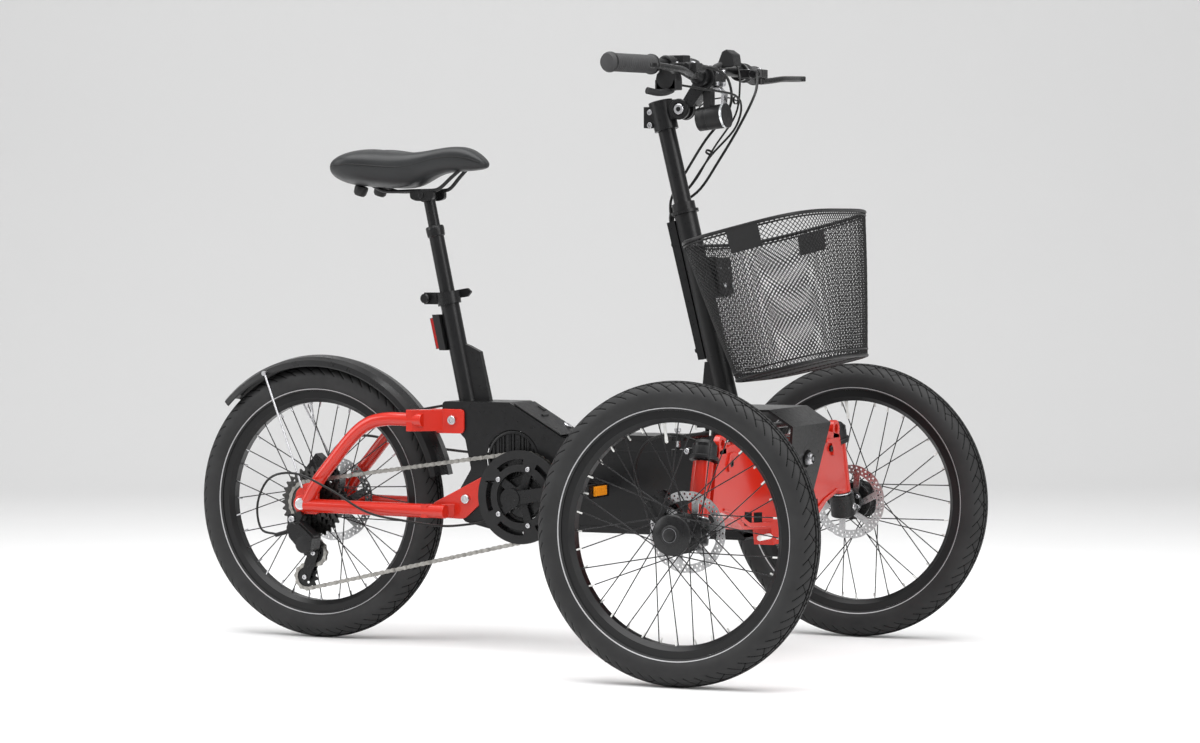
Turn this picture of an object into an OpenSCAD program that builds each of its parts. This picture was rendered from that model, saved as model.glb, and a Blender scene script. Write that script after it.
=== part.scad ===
// Electric adult tricycle: two steered front wheels on a tilting red axle casting, one driven
// rear wheel, a mid motor, a telescoping steering column with a basket, and a sprung seat post.
// Lengths in millimetres. +X points forward, +Z up, -Y is the rider's right, the drive side.
// The origin lies on the ground, midway between the rear and the front axles.

/* [Wheels] */
// Distance from the rear axle to the front axles
wheelbase = 925; // [900:5:950]
// Distance between the middles of the two front tyres
track = 828; // [820:1:840]
// Outer radius of all three tyres
tyre_radius = 258; // [256:1:259]
// Width of a tyre
tyre_width = 55; // [52:1:56]
// Spokes in each wheel
spoke_count = 36; // [28, 32, 36]

/* [Drive] */
// Height of the crank axle above the ground
crank_height = 282; // [278:1:286]
// Length of a crank arm
crank_length = 165; // [150:5:175]
// Teeth on the chainring
chainring_teeth = 40; // [36:4:40]
// Teeth on the cog that the chain runs on
cog_teeth = 20; // [18:1:22]
// Teeth on each derailleur pulley
pulley_teeth = 11; // [11]

/* [Frame] */
// Width of the folded steel body
body_width = 90; // [86:2:94]
// Thickness of the folded sheet
sheet = 3; // [2:0.5:4]
// Height of the top of the front beam
beam_top = 395; // [390:1:398]
// Height of the tilt axis of the front axle
tilt_height = 362; // [358:1:366]

/* [Steering] */
// Outer radius of the telescoping column tube
column_radius = 15.95; // [15.95]
// Half the width of the handlebar
bar_half_width = 325; // [300:5:340]
// Length of a grip
grip_length = 125; // [110:5:130]
// Length of the steering arms
steering_arm = 50; // [48:1:52]

/* [Seat] */
// Radius of the seat post
post_radius = 14; // [14]
// Height of the collar at the top of the seat post
post_top = 776; // [740:2:800]

/* [Basket] */
// Width of the basket at its rim
basket_width = 385; // [360:5:390]
// Length of the basket at its rim
basket_length = 265; // [240:5:270]
// Depth of the basket
basket_depth = 254; // [240:2:270]

/* [Hidden] */

black = [0.09, 0.09, 0.095];
satin = [0.16, 0.16, 0.17];
rubber = [0.20, 0.20, 0.20];
red = [0.87, 0.16, 0.10];
silver = [0.75, 0.75, 0.76];
amber = [0.95, 0.55, 0.05];
gap = 0.3;
running = 0.05;
side = body_width / 2;

// Wheel section
tyre_middle = tyre_radius - tyre_width / 2;
rim_radius = 209;
rim_inside = 188;
stub_radius = 7.5;
front_flange = 34;
rear_flange = 29;
front_rotor = 70;
rear_rotor = 80;
rotor_place = -42;

// Chain line
pitch = 12.7;
function pitch_radius(teeth) = pitch / (2 * sin(180 / teeth));
chain_line = -49;
chain_half_width = 3.2;
chain_half_height = 4.2;
crank_axle = [452, crank_height];
guide_axle = [13, 164];
tension_axle = [-6, 118];
arm_angle = 8.6;
arm_end = [crank_axle.x + crank_length * cos(arm_angle), crank_axle.y + crank_length * sin(arm_angle)];
back_arm_end = 2 * crank_axle - arm_end;

// Seat axis: leans back 12.3 degrees
seat_lean = 0.217;
function seat_axis(z) = [247 + (765 - z) * seat_lean, 0, z];
clamp_height = 642;

// Column axis: leans back 13.6 degrees
column_lean = 0.242;
column_angle = atan(column_lean);
function column_axis(z) = [718 + (955 - z) * column_lean, 0, z];
head_bottom = 440;
head_top = 797;
steerer_radius = 17.95;
collar_top = 817;
column_top = 985;
hinge = [751, 0, 985];
bar_middle = [800, 0, 1040];
rise = [785, 95, 1060];
grip_inner = [784, 200, 1057];
grip_sweep = 0.24;
lever_pivot = [838, 148];
function grip_axis(y) = [grip_inner.x - (y - grip_inner.y) * grip_sweep, y, grip_inner.z];

// Kingpin axis: its top leans inboard 15.6 degrees
king_lean = 0.28;
king_x = wheelbase;
function king_axis(z) = [king_x, 330 - (z - 281) * king_lean, z];
king_radius = 13.95;
rod_height = 412;
rod_x = king_x - steering_arm;
tongue = 404;
pin_x = column_axis(418).x - steering_arm;

// --- helpers -------------------------------------------------------------------------------

function unit(v) = v / norm(v);

// Points of one rounded corner p between its neighbours a and b
function corner(p, a, b, r, n = 6) =
    let (u = unit(a - p), v = unit(b - p), half = acos(u * v) / 2)
    let (s = p + u * r / tan(half), c = p + unit(u + v) * r / sin(half), e = p + v * r / tan(half))
    let (a0 = atan2(s.y - c.y, s.x - c.x), a1 = atan2(e.y - c.y, e.x - c.x))
    let (turn = (a1 - a0 + 540) % 360 - 180)
    [for (i = [0 : n]) c + r * [cos(a0 + turn * i / n), sin(a0 + turn * i / n)]];

// A closed outline with every corner rounded
function rounded(points, r) =
    let (n = len(points))
    [for (i = [0 : n - 1]) each corner(points[i], points[(i + n - 1) % n], points[(i + 1) % n], r)];

// Superellipse with half sizes a along x and b along y
function superellipse(a, b, power, n) =
    [for (i = [0 : n - 1])
        let (c = cos(360 * i / n), s = sin(360 * i / n))
        [a * sign(c) * pow(abs(c), 2 / power), b * sign(s) * pow(abs(s), 2 / power)]];

// The frame's modules measure x from the rear axle
module from_rear() {
    translate([-wheelbase / 2, 0, 0]) children();
}

// Turns +Z to +Y, for everything that spins about a wheel axis
module about_y() {
    rotate([-90, 0, 0]) children();
}

// Extrudes an (x, z) outline from y0 to y1
module side_plate(y0, y1) {
    translate([0, y1, 0]) rotate([90, 0, 0]) linear_extrude(y1 - y0) children();
}

// Extrudes a (y, z) outline from x0 to x1
module cross_plate(x0, x1) {
    translate([x0, 0, 0]) rotate([90, 0, 90]) linear_extrude(x1 - x0) children();
}

// Extrudes an (x, y) outline from z0 to z1
module flat_plate(z0, z1) {
    translate([0, 0, z0]) linear_extrude(z1 - z0) children();
}

// Round rod from p to q
module rod(p, q, r, fn = 32) {
    d = q - p;
    translate(p) rotate([0, acos(d.z / norm(d)), atan2(d.y, d.x)]) cylinder(h = norm(d), r = r, $fn = fn);
}

module pipe(p, q, outer, inner) {
    d = unit(q - p);
    difference() {
        rod(p, q, outer, 48);
        rod(p - d, q + d, inner, 48);
    }
}

// Copies a right-hand piece to both sides
module both_sides() {
    children();
    mirror([0, 1, 0]) children();
}

module at_front(left) {
    from_rear() mirror([0, left ? 0 : 1, 0]) translate([wheelbase, track / 2, tyre_radius]) children();
}

// A right-hand piece is made for the left and mirrored
module on_side(left) {
    from_rear() mirror([0, left ? 0 : 1, 0]) children();
}

// --- wheels --------------------------------------------------------------------------------

module tyre() {
    bead = [12, 3.2];
    color(rubber) about_y() rotate_extrude($fn = 120) union() {
        difference() {
            translate([tyre_middle, 0]) circle(r = tyre_width / 2, $fn = 64);
            translate([tyre_middle, 0]) circle(r = tyre_width / 2 - 4, $fn = 64);
            translate([0, -tyre_width]) square([rim_radius + gap, 2 * tyre_width]);
        }
        for (s = [-1, 1]) {
            translate([rim_radius - 4.5, s * 10.8 - bead.y / 2]) square(bead);
        }
    }
}

module rim() {
    half = [[rim_radius, 16], [rim_radius, 13], [204, 12.5], [199, 12.5], [197, 6]];
    inner = [[rim_inside, 8], [196, 16]];
    outline = concat(
        half,
        [for (i = [len(half) - 1 : -1 : 0]) [half[i].x, -half[i].y]],
        [for (i = [len(inner) - 1 : -1 : 0]) [inner[i].x, -inner[i].y]],
        inner
    );
    color(black) about_y() rotate_extrude($fn = 120) polygon(outline);
}

// Laced spokes from two flanges at y_out and y_in to the rim
module spokes(flange_radius, y_out, y_in) {
    hub_turn = 60;
    start = flange_radius + gap;
    end = rim_inside - gap;
    color(black) for (i = [0 : spoke_count - 1]) {
        angle = 360 * i / spoke_count;
        outer = i % 2 == 0;
        leading = floor(i / 2) % 2 == 0;
        hub_angle = angle + (leading ? hub_turn : -hub_turn);
        s = outer ? 1 : -1;
        hub_y = (outer ? y_out : y_in) + s * (leading ? 2.6 : -2.6);
        rim_y = s * (leading ? 6 : 3);
        rod(
            [start * cos(hub_angle), hub_y, start * sin(hub_angle)],
            [end * cos(angle), rim_y, end * sin(angle)],
            1, 16
        );
    }
}

// Brake disc with a slotted carrier, its middle at y = 0
module rotor(radius, hole) {
    web = radius - 16;
    difference() {
        about_y() translate([0, 0, -0.9]) cylinder(h = 1.8, r = radius, $fn = 96);
        about_y() translate([0, 0, -2]) cylinder(h = 4, r = hole, $fn = 48);
        for (k = [0 : 5]) {
            rotate([0, 60 * k, 0]) translate([(hole + 10 + web) / 2, 0, 0]) about_y()
                cylinder(h = 4, r = (web - hole - 12) / 2.1, center = true, $fn = 48);
        }
    }
}

module front_hub() {
    color(black) about_y() difference() {
        union() {
            translate([0, 0, -43]) cylinder(h = 21, r = 20, $fn = 64);
            translate([0, 0, -24]) cylinder(h = 48, r = 25, $fn = 64);
            for (y = [-23.5, 20.5]) translate([0, 0, y]) cylinder(h = 3, r = front_flange, $fn = 64);
            translate([0, 0, 23]) cylinder(h = 6, r = 17, $fn = 64);
            translate([0, 0, 28]) cylinder(h = 5, r1 = 15, r2 = 11, $fn = 64);
        }
        translate([0, 0, -60]) cylinder(h = 90, r = stub_radius + running, $fn = 48);
    }
    color(silver) translate([0, rotor_place, 0]) rotor(front_rotor, stub_radius + 3);
}

module rear_hub() {
    color(black) about_y() difference() {
        union() {
            translate([0, 0, -22]) cylinder(h = 72, r = 17, $fn = 64);
            translate([0, 0, -21.5]) cylinder(h = 3, r = rear_flange, $fn = 64);
            translate([0, 0, 34.5]) cylinder(h = 3, r = rear_flange, $fn = 64);
            translate([0, 0, 40]) cylinder(h = 11.5, r = 21, $fn = 64);
            translate([0, 0, 50]) cylinder(h = 13, r = 11, $fn = 64);
        }
        translate([0, 0, -30]) cylinder(h = 100, r = 5 + running, $fn = 48);
    }
    color(silver) translate([0, 52.1, 0]) rotor(rear_rotor, 10);
}

module at_rear() {
    from_rear() translate([0, 0, tyre_radius]) children();
}

module rear_tyre() {
    at_rear() tyre();
}

module rear_rim() {
    at_rear() rim();
}

module rear_spokes() {
    at_rear() spokes(rear_flange, 36, -20);
}

module rear_hub_and_disc() {
    at_rear() rear_hub();
}

// Eight cogs on a freewheel body; the chain runs on the fifth from the outside
module cassette() {
    teeth = [11, 13, 15, 18, cog_teeth, 24, 28, 32];
    spacing = 4.8;
    color(black) at_rear() about_y() difference() {
        union() {
            translate([0, 0, -60]) cylinder(h = 37, r = 16, $fn = 64);
            for (k = [0 : len(teeth) - 1]) {
                y = k == 4 ? chain_line - 1 : (k < 4 ? -60 + 2.6 * k : chain_line + 1.9 + spacing * (k - 4));
                reach = k == 4 ? chain_half_height + 0.4 : (k < 4 ? 5 : 0);
                translate([0, 0, y]) cylinder(h = 2, r = pitch_radius(teeth[k]) - reach, $fn = 64);
            }
        }
        translate([0, 0, -70]) cylinder(h = 60, r = 5 + running, $fn = 48);
    }
}

// --- frame ---------------------------------------------------------------------------------

// Side outline of the folded box around the motor and the foot of the seat tube
box_outline = rounded([
    [283, 454], [421, 454], [530, 391], [548, 391], [548, 236], [470, 221], [379, 221],
    [330, 232], [300, 262], [342, 330], [330, 385], [318, 397], [283, 397]
], 7);

module frame_box() {
    hole = [428, 350];
    color(black) from_rear() {
        for (s = [-1, 1]) {
            y0 = s < 0 ? -side : side - sheet;
            difference() {
                side_plate(y0, y0 + sheet) polygon(box_outline);
                translate([hole.x, y0 - 1, hole.y]) about_y() cylinder(h = sheet + 2, r = 54, $fn = 64);
                translate([crank_axle.x, y0 - 1, crank_axle.y]) about_y()
                    cylinder(h = sheet + 2, r = 46, $fn = 64);
                for (b = [[305.7, 419.6], [333.3, 274.6]]) {
                    translate([b.x, y0 - 1, b.y]) about_y() cylinder(h = sheet + 2, r = 4.2, $fn = 32);
                }
            }
        }
        // Folded top with the seat tube passing through it, and its sloping front
        difference() {
            side_plate(-side + sheet, side - sheet)
                polygon([[290, 451], [420, 451], [526, 389], [528, 392], [421, 454], [290, 454]]);
            rod(seat_axis(470), seat_axis(440), 17.5 + gap, 48);
        }
    }
}

// Beam that holds the battery: a U of folded sheet with a lid
module front_beam() {
    start = 548 + gap;
    end = 893;
    bottom = 221;
    outline = [[start, beam_top], [end, beam_top], [end, bottom + 15], [end - 15, bottom], [start, bottom]];
    inner = [
        [start + 3, beam_top - 4], [end - 4, beam_top - 4], [end - 4, bottom + 17],
        [end - 17, bottom + 4], [start + 3, bottom + 4]
    ];
    color(black) from_rear() difference() {
        side_plate(-side, side) polygon(outline);
        side_plate(-side + sheet, side - sheet) polygon(inner);
        translate([end - 10, 0, tilt_height]) rotate([0, 90, 0]) cylinder(h = 20, r = 12, $fn = 48);
    }
}

module battery_pack() {
    color(satin) from_rear() translate([570, -34, 240]) cube([290, 68, 100]);
}

// Seat tube with its rear plate and its front gusset
module seat_tube() {
    color(black) from_rear() difference() {
        union() {
            rod(seat_axis(398), seat_axis(640), 17.5, 48);
            side_plate(-3, 3)
                polygon([[262, 613], [282, 613], [318, 454], [296, 454]]);
            side_plate(-6, 6)
                polygon([[292, 565], [318, 556], [341, 545], [362, 454], [310, 454]]);
        }
        rod(seat_axis(380), seat_axis(660), post_radius + running, 48);
    }
}

// Both arms of the rear fork: chain stay, bent upper stay, dropout and folded brackets
module fork_arm() {
    y = 74;
    tube = 12.5;
    upper = [[18, 281], [66, 338], [112, 390], [146, 413], [182, 421], [236, 420]];
    color(red) {
        for (i = [0 : len(upper) - 2]) {
            rod([upper[i].x, y, upper[i].y], [upper[i + 1].x, y, upper[i + 1].y], tube, 32);
            translate([upper[i + 1].x, y, upper[i + 1].y]) sphere(r = tube + 0.8, $fn = 32);
        }
        rod([14, y, 254], [300, y, 252], 13, 32);
        // Dropout plate with the axle's slot
        difference() {
            side_plate(68, 76)
                polygon(rounded([[-14, 240], [-14, 280], [4, 296], [34, 300], [34, 238]], 5));
            translate([0, 60, tyre_radius]) about_y() cylinder(h = 30, r = 5.2, $fn = 32);
        }
        // Folded upper bracket
        difference() {
            union() {
                side_plate(side, side + 5)
                    polygon(rounded([[270, 395], [270, 440], [330, 440], [330, 395]], 8));
                flat_plate(400, 438) polygon([[232, y - 13], [232, y + 12], [286, side + 5], [286, side]]);
            }
            translate([305.7, side - 5, 419.6]) about_y() cylinder(h = 20, r = 4.2, $fn = 32);
        }
        // Triangular lower bracket
        difference() {
            union() {
                side_plate(side, side + 5)
                    polygon(rounded([[262, 264], [372, 319], [366, 269], [330, 237], [268, 239]], 6));
                flat_plate(241, 264) polygon([[262, y - 11], [262, y + 11], [310, side + 5], [310, side]]);
            }
            translate([333.3, side - 5, 274.6]) about_y() cylinder(h = 20, r = 4.2, $fn = 32);
        }
    }
}

module rear_fork() {
    from_rear() both_sides() fork_arm();
}

// Frame bolts, the rear axle with its nuts, and the pin of the tilt joint
module fasteners() {
    axle_radius = 5;
    color(silver) from_rear() {
        both_sides() for (b = [[305.7, 419.6], [333.3, 274.6]]) {
            translate([b.x, 36, b.y]) about_y() cylinder(h = side + 6 - 36, r = 4, $fn = 32);
            translate([b.x, side + 5, b.y]) about_y() cylinder(h = 4, r = 8, $fn = 32);
        }
        translate([0, -84, tyre_radius]) about_y() cylinder(h = 168, r = axle_radius, $fn = 48);
        both_sides() translate([0, 76, tyre_radius]) about_y() cylinder(h = 8, r = 9, $fn = 6);
        translate([884, 0, tilt_height]) rotate([0, 90, 0]) cylinder(h = 113, r = 10.9, $fn = 48);
        translate([997, 0, tilt_height]) rotate([0, 90, 0]) cylinder(h = 6, r = 9, $fn = 6);
    }
}

module head_tube() {
    top = column_axis(head_top);
    bottom = column_axis(head_bottom);
    color(black) from_rear() difference() {
        union() {
            rod(bottom, top, 20.5, 64);
            // Gusset behind the tube, on top of the nose bracket
            side_plate(-16, 16) polygon([[792, 452], [832, 452], [814, 532], [800, 532]]);
        }
        rod(column_axis(430), column_axis(810), steerer_radius + running, 64);
    }
}

module cable_channel() {
    color(black) from_rear() difference() {
        union() {
            side_plate(-9, 9) polygon([[723, 781], [738, 785], [798, 537], [784.5, 535]]);
            for (z = [750, 560]) {
                translate(column_axis(z) - [38, 0, 9]) rotate([0, 76.4, 0]) cylinder(h = 8, r = 4, $fn = 24);
            }
        }
        side_plate(-7, 7) polygon([[725, 790], [735, 790], [807, 478], [801, 478]]);
        rod(column_axis(430), column_axis(810), 20.5 + gap, 64);
    }
}

// Bent sheet over the steering rods; it carries the front end of the tilt pin
module nose_bracket() {
    back = 800;
    fold = 955;
    top = 452;
    front = [1001, 423];
    foot = [979, 292];
    color(black) from_rear() {
        difference() {
            union() {
                translate([back, -89, top - 4]) cube([fold - back, 178, 4]);
                side_plate(-89, 89) polygon([[fold - 1, top - 4], [fold, top], front, [front.x - 4, front.y - 3]]);
                intersection() {
                    side_plate(-89, 89) polygon([front, foot, foot - [5, 0], front - [5, 2]]);
                    cross_plate(940, 1010) polygon([[-89, 425], [89, 425], [54, 290], [-54, 290]]);
                }
                // Cheeks that stand on the beam, behind the steering rods
                for (s = [-1, 1]) {
                    translate([824, s * 43.5 - 1.5, beam_top]) cube([28, 3, top - beam_top - 2]);
                }
                translate([975, 0, tilt_height]) rotate([0, 90, 0]) cylinder(h = 12, r = 20, $fn = 48);
            }
            rod(column_axis(430), column_axis(470), 20.5 + gap, 64);
            translate([960, 0, tilt_height]) rotate([0, 90, 0]) cylinder(h = 60, r = 11, $fn = 48);
        }
    }
}

// Mid motor: finned can behind the plate, gear case around the crank axle
module motor() {
    can = [428, 350];
    color(black) from_rear() difference() {
        union() {
            translate([can.x, -40, can.y]) about_y() cylinder(h = 80, r = 48, $fn = 64);
            for (k = [-4 : 4]) {
                translate([can.x + 10 * k - 1.5, -43, can.y - 18]) cube([3, 8, sqrt(50 * 50 - 100 * k * k) + 14]);
            }
            translate([crank_axle.x, -44, crank_axle.y]) about_y() cylinder(h = 88, r = 42, $fn = 64);
        }
        translate([crank_axle.x, -60, crank_axle.y]) about_y() cylinder(h = 120, r = 9 + running, $fn = 48);
    }
}

// Curved guard over the rear tyre, with rounded section and a strip to the frame box
module mudguard() {
    inside = tyre_radius + 14;
    color(black) from_rear() side_plate(-10, 10) polygon([[214, 433], [294, 447], [294, 451], [212, 437]]);
    color(black) from_rear() translate([0, 0, tyre_radius]) difference() {
        rotate([90, 0, 0]) rotate([0, 0, 12]) rotate_extrude(angle = 124, $fn = 96)
            polygon([
                [inside - 16, -35], [inside - 6, -33], [inside, -22], [inside + 3, 0], [inside, 22],
                [inside - 6, 33], [inside - 16, 35], [inside - 13.5, 36.5], [inside - 4, 35],
                [inside + 2, 23], [inside + 5.5, 0], [inside + 2, -23], [inside - 4, -35], [inside - 13.5, -36.5]
            ]);
        translate([300, 0, 60]) cube([40, 100, 400], center = true);
    }
}

module mudguard_stays() {
    color(silver) from_rear() both_sides() {
        rod([-100, 42, 500], [2, 78.3, 288], 2, 16);
        rod([-100, 36.6, 500], [-100, 46, 500], 4.5, 24);
    }
}

module rear_light() {
    color(black) from_rear() side_plate(-17, 17)
        polygon([[247, 613], [261, 613], [275.5, 547], [262, 547]]);
    color(red) from_rear() side_plate(-14, 14)
        polygon([[241, 606], [247.8, 608], [260.8, 550], [254, 549]]);
}

// --- seat ----------------------------------------------------------------------------------

module seat_clamp() {
    color(black) from_rear() difference() {
        union() {
            rod(seat_axis(clamp_height - 10), seat_axis(clamp_height + 12), 22, 48);
            translate([226, -8, 632]) cube([36, 16, 22]);
        }
        rod(seat_axis(600), seat_axis(640), 17.5 + gap, 48);
        rod(seat_axis(600), seat_axis(700), post_radius + gap, 48);
    }
    color(silver) from_rear() translate([232, -13, 643]) about_y() {
        cylinder(h = 25.7, r = 3, $fn = 24);
        cylinder(h = 5, r = 7, $fn = 24);
    }
}

// Quick release: an upright cam barrel with a lever that wraps round the tube's left
module seat_clamp_lever() {
    color(black) from_rear() {
        translate([232, 20, 633]) cylinder(h = 20, r = 7, $fn = 32);
        side_plate(24, 30) polygon(rounded([[228, 636], [228, 650], [300, 662], [308, 655], [300, 646]], 3));
    }
}

module seat_post() {
    color(black) from_rear() difference() {
        union() {
            rod(seat_axis(500), seat_axis(762), post_radius, 48);
            rod(seat_axis(760), seat_axis(post_top), 16.7, 48);
        }
        rod(seat_axis(540), seat_axis(800), 11 + running, 48);
    }
}

// Sprung plunger with the rail clamp and the saddle's rails
module seat_head() {
    color(satin) from_rear() {
        rod(seat_axis(640), seat_axis(832), 11, 48);
        translate([206, -27, 826]) cube([52, 54, 17]);
    }
    color(silver) from_rear() both_sides() {
        rod([112, 24, 860], [165, 22, 842], 3.5, 24);
        translate([165, 22, 842]) sphere(r = 3.9, $fn = 24);
        rod([165, 22, 842], [262, 22, 844], 3.5, 24);
        translate([262, 22, 844]) sphere(r = 3.9, $fn = 24);
        rod([262, 22, 844], [318, 10, 892], 3.5, 24);
    }
}

module saddle() {
    color(rubber) from_rear() hull() {
        for (s = [-1, 1]) {
            translate([97, s * 76, 886]) sphere(r = 34, $fn = 28);
            translate([140, s * 58, 883]) sphere(r = 34, $fn = 28);
        }
        translate([205, 0, 882]) sphere(r = 34, $fn = 28);
        translate([300, 0, 900]) sphere(r = 26, $fn = 28);
        translate([336, 0, 895]) sphere(r = 21, $fn = 28);
    }
}

// Folding catch on the slope of the motor cover
module cover_latch() {
    slope = atan2(454 - 391, 530 - 421);
    color(satin) from_rear() translate([470, 0, 425.7]) rotate([0, slope, 0]) difference() {
        union() {
            translate([0, -11, 0]) cube([30, 22, 3.5]);
            translate([0, 0, 3.5]) about_y() cylinder(h = 22, r = 3, center = true, $fn = 24);
        }
        translate([14, -6, -1]) cube([11, 12, 12]);
    }
}

// --- drive ---------------------------------------------------------------------------------

// Outside tangent of circles (a, ra) and (b, rb), each on its given side (+1 left of travel)
function tangent(a, ra, b, rb) =
    let (d = b - a, t = atan2(d.y, d.x), k = asin((ra - rb) / norm(d)))
    let (n = [cos(t + 90 - k), sin(t + 90 - k)])
    [a + ra * n, b + rb * n];

// Points of an arc of a circle from point p round to point q, turning by the sign of way
function arc(c, p, q, way, n) =
    let (a0 = atan2(p.y - c.y, p.x - c.x), a1 = atan2(q.y - c.y, q.x - c.x))
    let (turn = way > 0 ? (a1 - a0 + 720) % 360 : -((a0 - a1 + 720) % 360))
    [for (i = [0 : n]) c + norm(p - c) * [cos(a0 + turn * i / n), sin(a0 + turn * i / n)]];

ring_radius = pitch_radius(chainring_teeth);
cog_radius = pitch_radius(cog_teeth);
pulley_radius = pitch_radius(pulley_teeth);
cog_axle = [0, tyre_radius];

// Centre line of the chain moved outwards by e, seen from the right with x to the right
function chain_loop(e) =
    let (R = ring_radius + e, C = cog_radius + e, G = pulley_radius - e, T = pulley_radius + e)
    let (top = tangent(cog_axle, C, crank_axle, R))
    let (low = tangent(crank_axle, R, tension_axle, T))
    let (swap = tangent(tension_axle, T, guide_axle, -G))
    let (back = tangent(guide_axle, -G, cog_axle, C))
    concat(
        arc(crank_axle, top[1], low[0], -1, 24),
        arc(tension_axle, low[1], swap[0], -1, 12),
        arc(guide_axle, swap[1], back[0], 1, 8),
        arc(cog_axle, back[1], top[0], -1, 12)
    );

module chain() {
    color(silver) from_rear() side_plate(chain_line - chain_half_width, chain_line + chain_half_width)
        difference() {
            polygon(chain_loop(chain_half_height));
            polygon(chain_loop(-chain_half_height));
        }
}

module pulley(axle) {
    color(black) from_rear() translate([axle.x, chain_line, axle.y]) about_y() difference() {
        cylinder(h = 4, r = pulley_radius - chain_half_height - 0.4, center = true, $fn = 48);
        cylinder(h = 10, r = 3 + running, center = true, $fn = 32);
    }
}

module guide_pulley() {
    pulley(guide_axle);
}

module tension_pulley() {
    pulley(tension_axle);
}

// Hanger, body and cage of the rear derailleur
module derailleur() {
    color(black) from_rear() {
        side_plate(-86, -76)
            polygon(rounded([[-26, 238], [-8, 240], [0, 246], [6, 236], [-4, 216], [-26, 216]], 4));
        side_plate(-98, -64)
            polygon(rounded([[-20, 216], [4, 222], [34, 196], [30, 170], [8, 172], [-16, 196]], 6));
        for (y = [-57, -43]) {
            side_plate(y, y + 2) polygon(rounded([
                [guide_axle.x - 9, guide_axle.y + 9], [guide_axle.x + 9, guide_axle.y + 9],
                [guide_axle.x + 9, guide_axle.y - 5], [tension_axle.x + 8, tension_axle.y - 8],
                [tension_axle.x - 8, tension_axle.y - 8], [tension_axle.x - 8, tension_axle.y + 5]
            ], 4));
        }
        for (p = [guide_axle, tension_axle]) {
            translate([p.x, -57, p.y]) about_y() cylinder(h = 16, r = 3, $fn = 32);
        }
        translate([18, -66, 176]) about_y() cylinder(h = 10, r = 6, $fn = 32);
    }
}

module rear_caliper() {
    color(black) from_rear() difference() {
        translate([-42, 41, 310]) rotate([0, 38, 0]) translate([-18, 0, -4]) cube([40, 25, 34]);
        translate([0, 51.2 - 1.6, tyre_radius]) about_y() cylinder(h = 5, r = rear_rotor + 1.5, $fn = 64);
    }
    color(black) from_rear() side_plate(64, 68) polygon([[-36, 300], [-26, 334], [12, 298], [2, 280]]);
}

module chainring() {
    color(black) from_rear() translate([crank_axle.x, 0, crank_axle.y]) about_y() {
        difference() {
            union() {
                translate([0, 0, chain_line - 2]) cylinder(h = 4, r = ring_radius - chain_half_height - 0.4, $fn = 96);
                translate([0, 0, -64]) cylinder(h = 3, r = 85, $fn = 96);
                for (k = [0 : 3]) {
                    rotate(90 * k + 30) translate([52, 0, -64]) cylinder(h = 16, r = 7, $fn = 32);
                }
            }
            translate([0, 0, -70]) cylinder(h = 30, r = 40, $fn = 64);
        }
        // Spider
        difference() {
            union() {
                translate([0, 0, -62]) cylinder(h = 8, r = 20, $fn = 48);
                for (k = [0 : 3]) {
                    rotate(90 * k + 30) translate([0, -8, -61]) cube([48, 16, 6]);
                }
            }
            translate([0, 0, -70]) cylinder(h = 30, r = 9 + gap, $fn = 48);
        }
    }
}

module cranks() {
    spindle = 9;
    color(satin) from_rear() {
        translate([crank_axle.x, -103, crank_axle.y]) about_y() cylinder(h = 206, r = spindle, $fn = 48);
        for (s = [-1, 1]) {
            end = s < 0 ? arm_end : back_arm_end;
            y0 = s < 0 ? -105 : 89;
            difference() {
                union() {
                    translate([crank_axle.x, y0, crank_axle.y]) about_y() cylinder(h = 16, r = 19, $fn = 48);
                    translate([end.x, y0, end.y]) about_y() cylinder(h = 16, r = 14, $fn = 48);
                    translate([crank_axle.x, y0 + 2, crank_axle.y])
                        rotate([0, s < 0 ? -arm_angle : 180 - arm_angle, 0]) translate([0, 0, -12])
                        cube([crank_length, 12, 24]);
                }
                translate([end.x, y0 - 1, end.y]) about_y() cylinder(h = 18, r = 7 + running, $fn = 32);
            }
        }
    }
}

module pedal(end, left) {
    color(satin) on_side(left) {
        translate([end.x, 0, end.y]) {
            translate([0, 90, 0]) about_y() cylinder(h = 32, r = 7, $fn = 32);
            difference() {
                translate([-45, 122, -12]) cube([90, 85, 24]);
                for (s = [-1, 1]) {
                    translate([s * 25 - 12, 134, -15]) cube([24, 60, 30]);
                }
            }
            translate([0, 120, 0]) about_y() cylinder(h = 80, r = 9, $fn = 32);
        }
    }
    color(amber) on_side(left) translate([end.x, 0, end.y]) for (s = [-1, 1]) {
        translate([s * 45.5 - 1.5, 140, -8]) cube([3, 48, 16]);
    }
}

module pedal_right() {
    pedal(arm_end, false);
}

module pedal_left() {
    pedal(back_arm_end, true);
}

// --- front axle ----------------------------------------------------------------------------

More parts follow.
